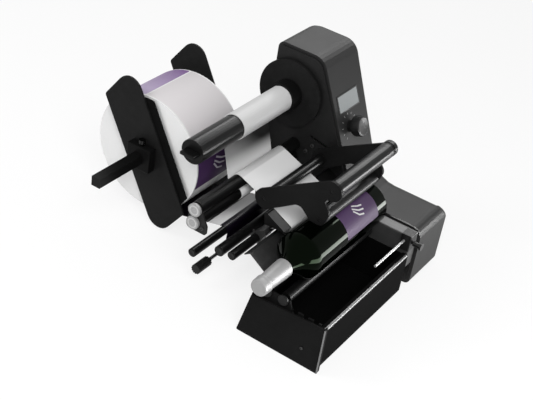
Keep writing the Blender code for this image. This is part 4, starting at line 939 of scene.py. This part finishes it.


# The labels over the top of the roll are the same purple labels as the lower ones, painted light
# lavender: a painted sheen, strongest at the near end.
roll_span = (0.118, 0.232)
purple_print_painted_sheen, pale_print, purple_print, mark_print = (
    print_with_painted_light(name, painted_light_near_colour, painted_shade_far_colour, roll_span, roughness)
    for name, painted_light_near_colour, painted_shade_far_colour, roughness in (
        ("purple_print_painted_sheen", (0.42, 0.35, 0.50, 1.0), (0.13, 0.05, 0.20, 1.0), 0.35),
        ("pale_print", (0.60, 0.575, 0.585, 1.0), (0.54, 0.52, 0.53, 1.0), 0.45),
        ("purple_print", (0.060, 0.020, 0.095, 1.0), (0.024, 0.007, 0.040, 1.0), 0.32),
        ("white_mark_print", (0.60, 0.58, 0.62, 1.0), (0.42, 0.38, 0.45, 1.0), 0.42),
    )
)
roll_centre = (roll_y, roll_z)
for name, finish, low, high in (
    ("roll_label_purple_painted_sheen", purple_print_painted_sheen, 46.0, 80.5),
    ("roll_label_pale", pale_print, 82.5, 143.0),
    ("roll_label_purple", purple_print, 146.5, 196.0),
    ("roll_label_back_purple_painted_sheen", purple_print_painted_sheen, 6.0, 40.0),
    ("roll_label_back_pale", pale_print, -43.0, 4.0),
    ("roll_label_under_purple", purple_print, -86.0, -45.0),
):
    label_patch(name, finish, (0.1175, 0.2275), roll_centre, roll_radius, low, high, "supply_roll")


def leaf_mark(name, finish, middle_x, centre, radius, middle_angle, size, body):
    """Generic leaf printed on a label: six bent strokes of eight lengths each."""
    shape = bmesh.new()
    lengths = 8
    stroke_width = 0.10
    for start_x, start_up, end_x, end_up in (
        (-0.50, -0.10, -0.15, 0.30),
        (-0.15, 0.30, 0.30, 0.42),
        (-0.45, -0.25, 0.00, 0.05),
        (0.00, 0.05, 0.45, 0.15),
        (-0.30, -0.42, 0.15, -0.20),
        (0.15, -0.20, 0.50, -0.12),
    ):
        stroke_start = Vector((start_x, start_up)) * size
        along = Vector((end_x - start_x, end_up - start_up)) * size
        across = Vector((-along.y, along.x)).normalized() * (stroke_width * size / 2.0)
        for step in range(lengths):
            rows = []
            for reach in (radius - 0.0002, radius):
                row = []
                for further, side in ((0, -1.0), (0, 1.0), (1, 1.0), (1, -1.0)):
                    spot = stroke_start + along * ((step + further) / lengths) + across * side
                    angle = math.radians(middle_angle) + spot.y / radius
                    row.append(shape.verts.new(round_x(centre, reach, middle_x + spot.x, angle)))
                rows.append(row)
            capped_skin(shape, rows)
    bmesh.ops.remove_doubles(shape, verts=shape.verts, dist=0.00001)
    finished(name, shape, finish, body)


mark_lift = 0.0003
mark_radius = roll_radius + mark_lift
leaf_mark("roll_mark", mark_print, 0.172, roll_centre, mark_radius, 178.0, 0.030, "supply_roll")

# Web: the printed strip from the roll to the peel bar and the bare liner back to the rewinder.
# The liner is glossy. Its run back to the rewinder is painted darker towards the housing and
# upward, a painted shade of the rewinder over it, and a run low on the strip and its back edge
# are painted near black, darker than the label print: painted shade over printed labels.
web_paper, tree, shader = new_material("web_paper")
paper = use_effect(
    tree,
    paper_grain,
    {"Colour": grey(0.71), "Shade": grey(0.66), "Roughness": 0.42, "Scale": 900.0},
)
apart = axis_values(tree, object_place(tree))


def ramp(tree, value, low, high):
    """Share from 0 to 1 between two values of a socket."""
    node = tree.nodes.new("ShaderNodeMapRange")
    node.interpolation_type = "SMOOTHSTEP"
    set_inputs(node, {"From Min": low, "From Max": high})
    tree.links.new(value, node.inputs["Value"])
    return node.outputs["Result"]


liner_start = at(0.115, 0.235, 0.1425)
liner_end = at(0.230, 0.262, 0.205)


def run(low_y, high_y):
    """Share from 0 to 1 between two depths of the machine."""
    return ramp(tree, apart["Y"], at(0.0, low_y, 0.0).y, at(0.0, high_y, 0.0).y)


above = ramp(tree, apart["Z"], liner_start.z + 0.008, liner_start.z + 0.040)
liner_zone = math_node(tree, "MULTIPLY", above, run(0.233, 0.236))
liner_zone = math_node(tree, "MULTIPLY", liner_zone, run(0.300, 0.296))
# Below the rods and along the strip's back edge the stock is painted near-black purple, far darker than
# the label print: printed labels with painted shade over them.
below = ramp(tree, apart["Z"], 0.0945, 0.0935)
idle_run = math_node(tree, "MULTIPLY", run(0.199, 0.2005), run(0.2625, 0.2610))
zones = math_node(tree, "ADD", idle_run, run(0.2830, 0.2840), clamp=True)
ink_and_painted_shade_run = math_node(tree, "MULTIPLY", below, zones)
# The liner goes from mid grey to near black towards the housing and upward: painted shade of the
# rewinder over it.
across = ramp(tree, apart["X"], liner_start.x, liner_end.x)
upward = ramp(tree, apart["Z"], liner_start.z, liner_end.z)
across = math_node(tree, "MULTIPLY", across, 0.7)
depth = math_node(tree, "ADD", across, math_node(tree, "MULTIPLY", upward, 0.55))
liner_painted_shade = blend_colour(tree, math_node(tree, "MINIMUM", depth, 1.0), grey(0.42), grey(0.010))
stock = blend_colour(tree, ink_and_painted_shade_run, paper["Colour"], (0.003, 0.0014, 0.0045, 1.0))
tree.links.new(blend_colour(tree, liner_zone, stock, liner_painted_shade), shader.inputs["Base Color"])
tree.links.new(paper["Roughness"], shader.inputs["Roughness"])
add_relief(tree, paper["Height"], 0.08)
shader.inputs["Specular IOR Level"].default_value = 0.3
dress(web_paper, "label_web")
wind_paper = finish_with(
    "wound_liner",
    paper_grain,
    {"Colour": grey(0.55), "Shade": grey(0.47), "Roughness": 0.45, "Scale": 900.0},
    0.1,
    specular=0.2,
)
dress(wind_paper, "liner_wind")

# Rewinder: a black mandrel that turns behind a laser-cut flange and winds up the bare liner,
# with a key pushed in along it that locks the liner's end.
dress(rod_black, "rewind_mandrel", "rewind_key")
dress(plate_sheet, "rewind_flange")

# Pressing arms: two laser-cut arms on a shaft in a black sleeve, joined by a round handle, that
# hold the rubber press roller on the bottle.
arm_coat = finish_with(
    "arm_coat",
    coated_metal,
    {"Colour": grey(0.0040), "Worn": grey(0.030), "Roughness": 0.40, "Grain": 1300.0, "Wear": 0.4},
    0.2,
    specular=0.035,
)
dress(arm_coat, "arm_near", "arm_far")
sleeve_black = finish_with(
    "sleeve_tube",
    turned_metal,
    {"Colour": grey(0.003), "Stain": grey(0.007), "Roughness": 0.30, "Pitch": 1700.0},
    0.03,
    specular=0.12,
)
dress(sleeve_black, "pivot_sleeve", "handle_bar")
for name, spot_y, spot_z, radius in (
    ("press", 0.0865, 0.1757, 0.0016),
    ("handle", 0.075, 0.2285, 0.0018),
    ("pivot", 0.1785, 0.165, 0.0018),
):
    stud_profile = (
        (-0.0005, 0.0),
        (-0.0005, radius),
        (0.0, radius),
        (0.0003, radius * 0.8),
        (0.0003, 0.0),
    )
    stud = placed(lathe(stud_profile, 24), at(0.0900, spot_y, spot_z))
    finished("arm_stud_" + name, stud, sleeve_black, "arms")

# Bottle cradle: a folded tray and end plate, a notched bracket, two rollers and the head that
# carries them, with a stop rod whose position a small screw holds.
disc_profile = (
    (-0.0004, 0.0),
    (-0.0004, 0.0084),
    (0.0012, 0.0085),
    (0.0018, 0.0083),
    (0.0021, 0.0077),
    (0.0018, 0.0071),
    (0.0018, 0.0),
)
for name, axis_y in (("front", 0.0758), ("rear", 0.1034)):
    disc = placed(lathe(disc_profile, 64), at(0.0078, axis_y, 0.0853))
    finished("cradle_cap_" + name, disc, knob_plastic, "cradle_" + name)
tray_coat = finish_with(
    "tray_coat",
    coated_metal,
    {"Colour": grey(0.0045), "Worn": grey(0.025), "Roughness": 0.42, "Grain": 1200.0, "Wear": 0.3},
    0.2,
    specular=0.02,
)
tray_inside = finish_with(
    "tray_gloss_coat",
    coated_metal,
    {"Colour": grey(0.0020), "Worn": grey(0.010), "Roughness": 0.62, "Grain": 1200.0, "Wear": 0.3},
    0.15,
    specular=0.01,
)
dress(tray_coat, "tray_end_plate", "roller_bracket")
dress(tray_inside, "tray")
# Light strips on the bend of the tray's front lip and on the end plate's front flange: painted
# highlights of the light on these bends.
bare_edge = finish_with(
    "bare_edge",
    turned_metal,
    {"Colour": grey(0.13), "Stain": grey(0.08), "Roughness": 0.42, "Pitch": 900.0},
    0.2,
    metallic=0.3,
)


def bent_strip(name, path, width_way, half_width, thickness):
    """Thin light strip along a path of points and ways its face looks: a painted highlight on the bend
    of a sheet.
    """
    shape = bmesh.new()
    rows = []
    for spot, face_way in path:
        row = []
        for share, lift in ((-1.0, 0.0), (-0.8, 1.0), (0.8, 1.0), (1.0, 0.0)):
            off = width_way * (half_width * share) + face_way * (thickness * lift)
            row.append(shape.verts.new(spot + off))
        rows.append(row)
    capped_skin(shape, rows)
    finished(name, shape, bare_edge, "machine")


lip_middle = at(0.1250, 0.0056, 0.0711)
lip_radius = 0.00295
lip_path = []
for step in range(7):
    turn = math.radians(80.0 + 100.0 * step / 6)
    way = Vector((0.0, math.cos(turn), math.sin(turn)))
    lip_path.append((lip_middle + way * lip_radius, way))
bent_strip("tray_lip_painted_highlight", lip_path, right, 0.1195, 0.00025)
flange_way = Vector((-0.6, -1.0, 0.0)).normalized()
flange_across = Vector((0.8, -0.35, 0.0)).normalized()
flange_path = [(at(0.0, 0.00005, level), flange_way) for level in (0.0015, 0.0270, 0.0530, 0.0792)]
bent_strip("flange_painted_highlight", flange_path, flange_across, 0.0016, 0.0003)
head_coat = finish_with(
    "head_coat",
    coated_metal,
    {"Colour": grey(0.026), "Worn": grey(0.10), "Roughness": 0.42, "Grain": 1200.0, "Wear": 0.6},
    0.25,
    specular=0.4,
)
dress(head_coat, "cradle_head")
dress(knob_plastic, "stop_block")
dress(thumb_finish, "stop_screw")
rod_steel = finish_with(
    "stop_rod_steel",
    turned_metal,
    {"Colour": grey(0.34), "Stain": grey(0.26), "Roughness": 0.40, "Pitch": 1500.0},
    0.2,
    metallic=0.5,
)
dress(rod_steel, "stop_rod")
cap_screw("end_plate_screw", at(0.0, 0.030, 0.030), 0.0022)

# Bottle: a dark green wine bottle lying full on the cradle, with a printed label stuck round a
# part of it and a crimped silver foil over its mouth.
bottle_middle = (0.0896, 0.1289)
bottle_radius = 0.0369
bottle_finish, tree, shader = new_material("bottle_green_glass")
place = object_place(tree)
tint = noise(tree, place, 9.0, 2.0)
tint = blend_colour(tree, tint, (0.0002, 0.0004, 0.0002, 1.0), (0.0004, 0.0008, 0.0004, 1.0))
tree.links.new(tint, shader.inputs["Base Color"])
roughen(tree, noise(tree, place, 50.0, 4.0, 0.65), 0.05, 0.025)
add_relief(tree, noise(tree, place, 55.0, 2.0), 0.04, 0.0006)
set_inputs(shader, {"Specular IOR Level": 0.05, "Specular Tint": (0.66, 0.95, 0.60, 1.0)})
heel = 0.0030
shoulder_start, shoulder_length = 0.186, 0.040
neck_radius = 0.0132
glass_profile = [
    (-0.0060, 0.0),
    (-0.0058, 0.010),
    (-0.0045, 0.020),
    (-0.0010, 0.0255),
    (0.0, 0.0280),
    (0.0, 0.0325),
]
for step in range(1, 7):
    turn = math.radians(90.0) * step / 6
    reach = bottle_radius - heel + heel * math.sin(turn)
    glass_profile.append((heel - heel * math.cos(turn), reach))
for step in range(25):
    share = step / 24
    ease = 0.5 - 0.5 * math.cos(math.pi * share)
    reach = bottle_radius + (neck_radius - bottle_radius) * ease
    glass_profile.append((shoulder_start + shoulder_length * share, reach))
glass_profile += [
    (0.2268, 0.0132),
    (0.2300, 0.0128),
    (0.2480, 0.0118),
    (0.2860, 0.0112),
    (0.2886, 0.0106),
    (0.2886, 0.0),
]
glass = placed(lathe(glass_profile, 96), at(0.2460, *bottle_middle))
bottle_glass = finished("bottle_glass", glass, bottle_finish, "bottle", 50.0)
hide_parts("bottle")
# The bottle label and its mark are printed darker towards the far end: painted shade along the bottle.
bottle_span = (0.130, 0.218)
bottle_label = print_with_painted_light(
    "bottle_label_print",
    (0.054, 0.021, 0.082, 1.0),
    (0.040, 0.014, 0.062, 1.0),
    bottle_span,
    0.46,
)
label_patch(
    "bottle_label",
    bottle_label,
    bottle_span,
    bottle_middle,
    bottle_radius,
    97.0,
    170.0,
    "bottle",
)
bottle_mark = print_with_painted_light("bottle_mark_print", grey(0.62), grey(0.54), bottle_span, 0.40)
mark_radius = bottle_radius + mark_lift
leaf_mark("bottle_mark", bottle_mark, 0.176, bottle_middle, mark_radius, 124.0, 0.024, "bottle")
foil = finish_with(
    "capsule_foil",
    turned_metal,
    {"Colour": grey(0.33), "Stain": grey(0.21), "Roughness": 0.52, "Pitch": 1200.0},
    0.3,
    metallic=0.32,
)
foil_profile = (
    (0.0, 0.01372),
    (0.0, 0.01412),
    (0.0100, 0.0140),
    (0.0300, 0.0131),
    (0.0455, 0.0124),
    (0.0470, 0.0133),
    (0.0490, 0.0136),
    (0.0520, 0.0135),
    (0.0530, 0.0129),
    (0.0545, 0.0128),
    (0.0556, 0.0133),
    (0.0600, 0.0132),
    (0.0622, 0.0126),
    (0.0631, 0.0116),
    (0.0633, 0.0108),
    (0.0629, 0.0103),
    (0.0629, 0.0),
)
foil_shape = lathe(foil_profile, 96, flutes=32, flute_depth=0.00030, fluted=(4,))
foil_shape = placed(foil_shape, at(0.0187, *bottle_middle))
bottle_foil = finished("bottle_foil", foil_shape, foil, "bottle")
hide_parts("bottle_capsule")
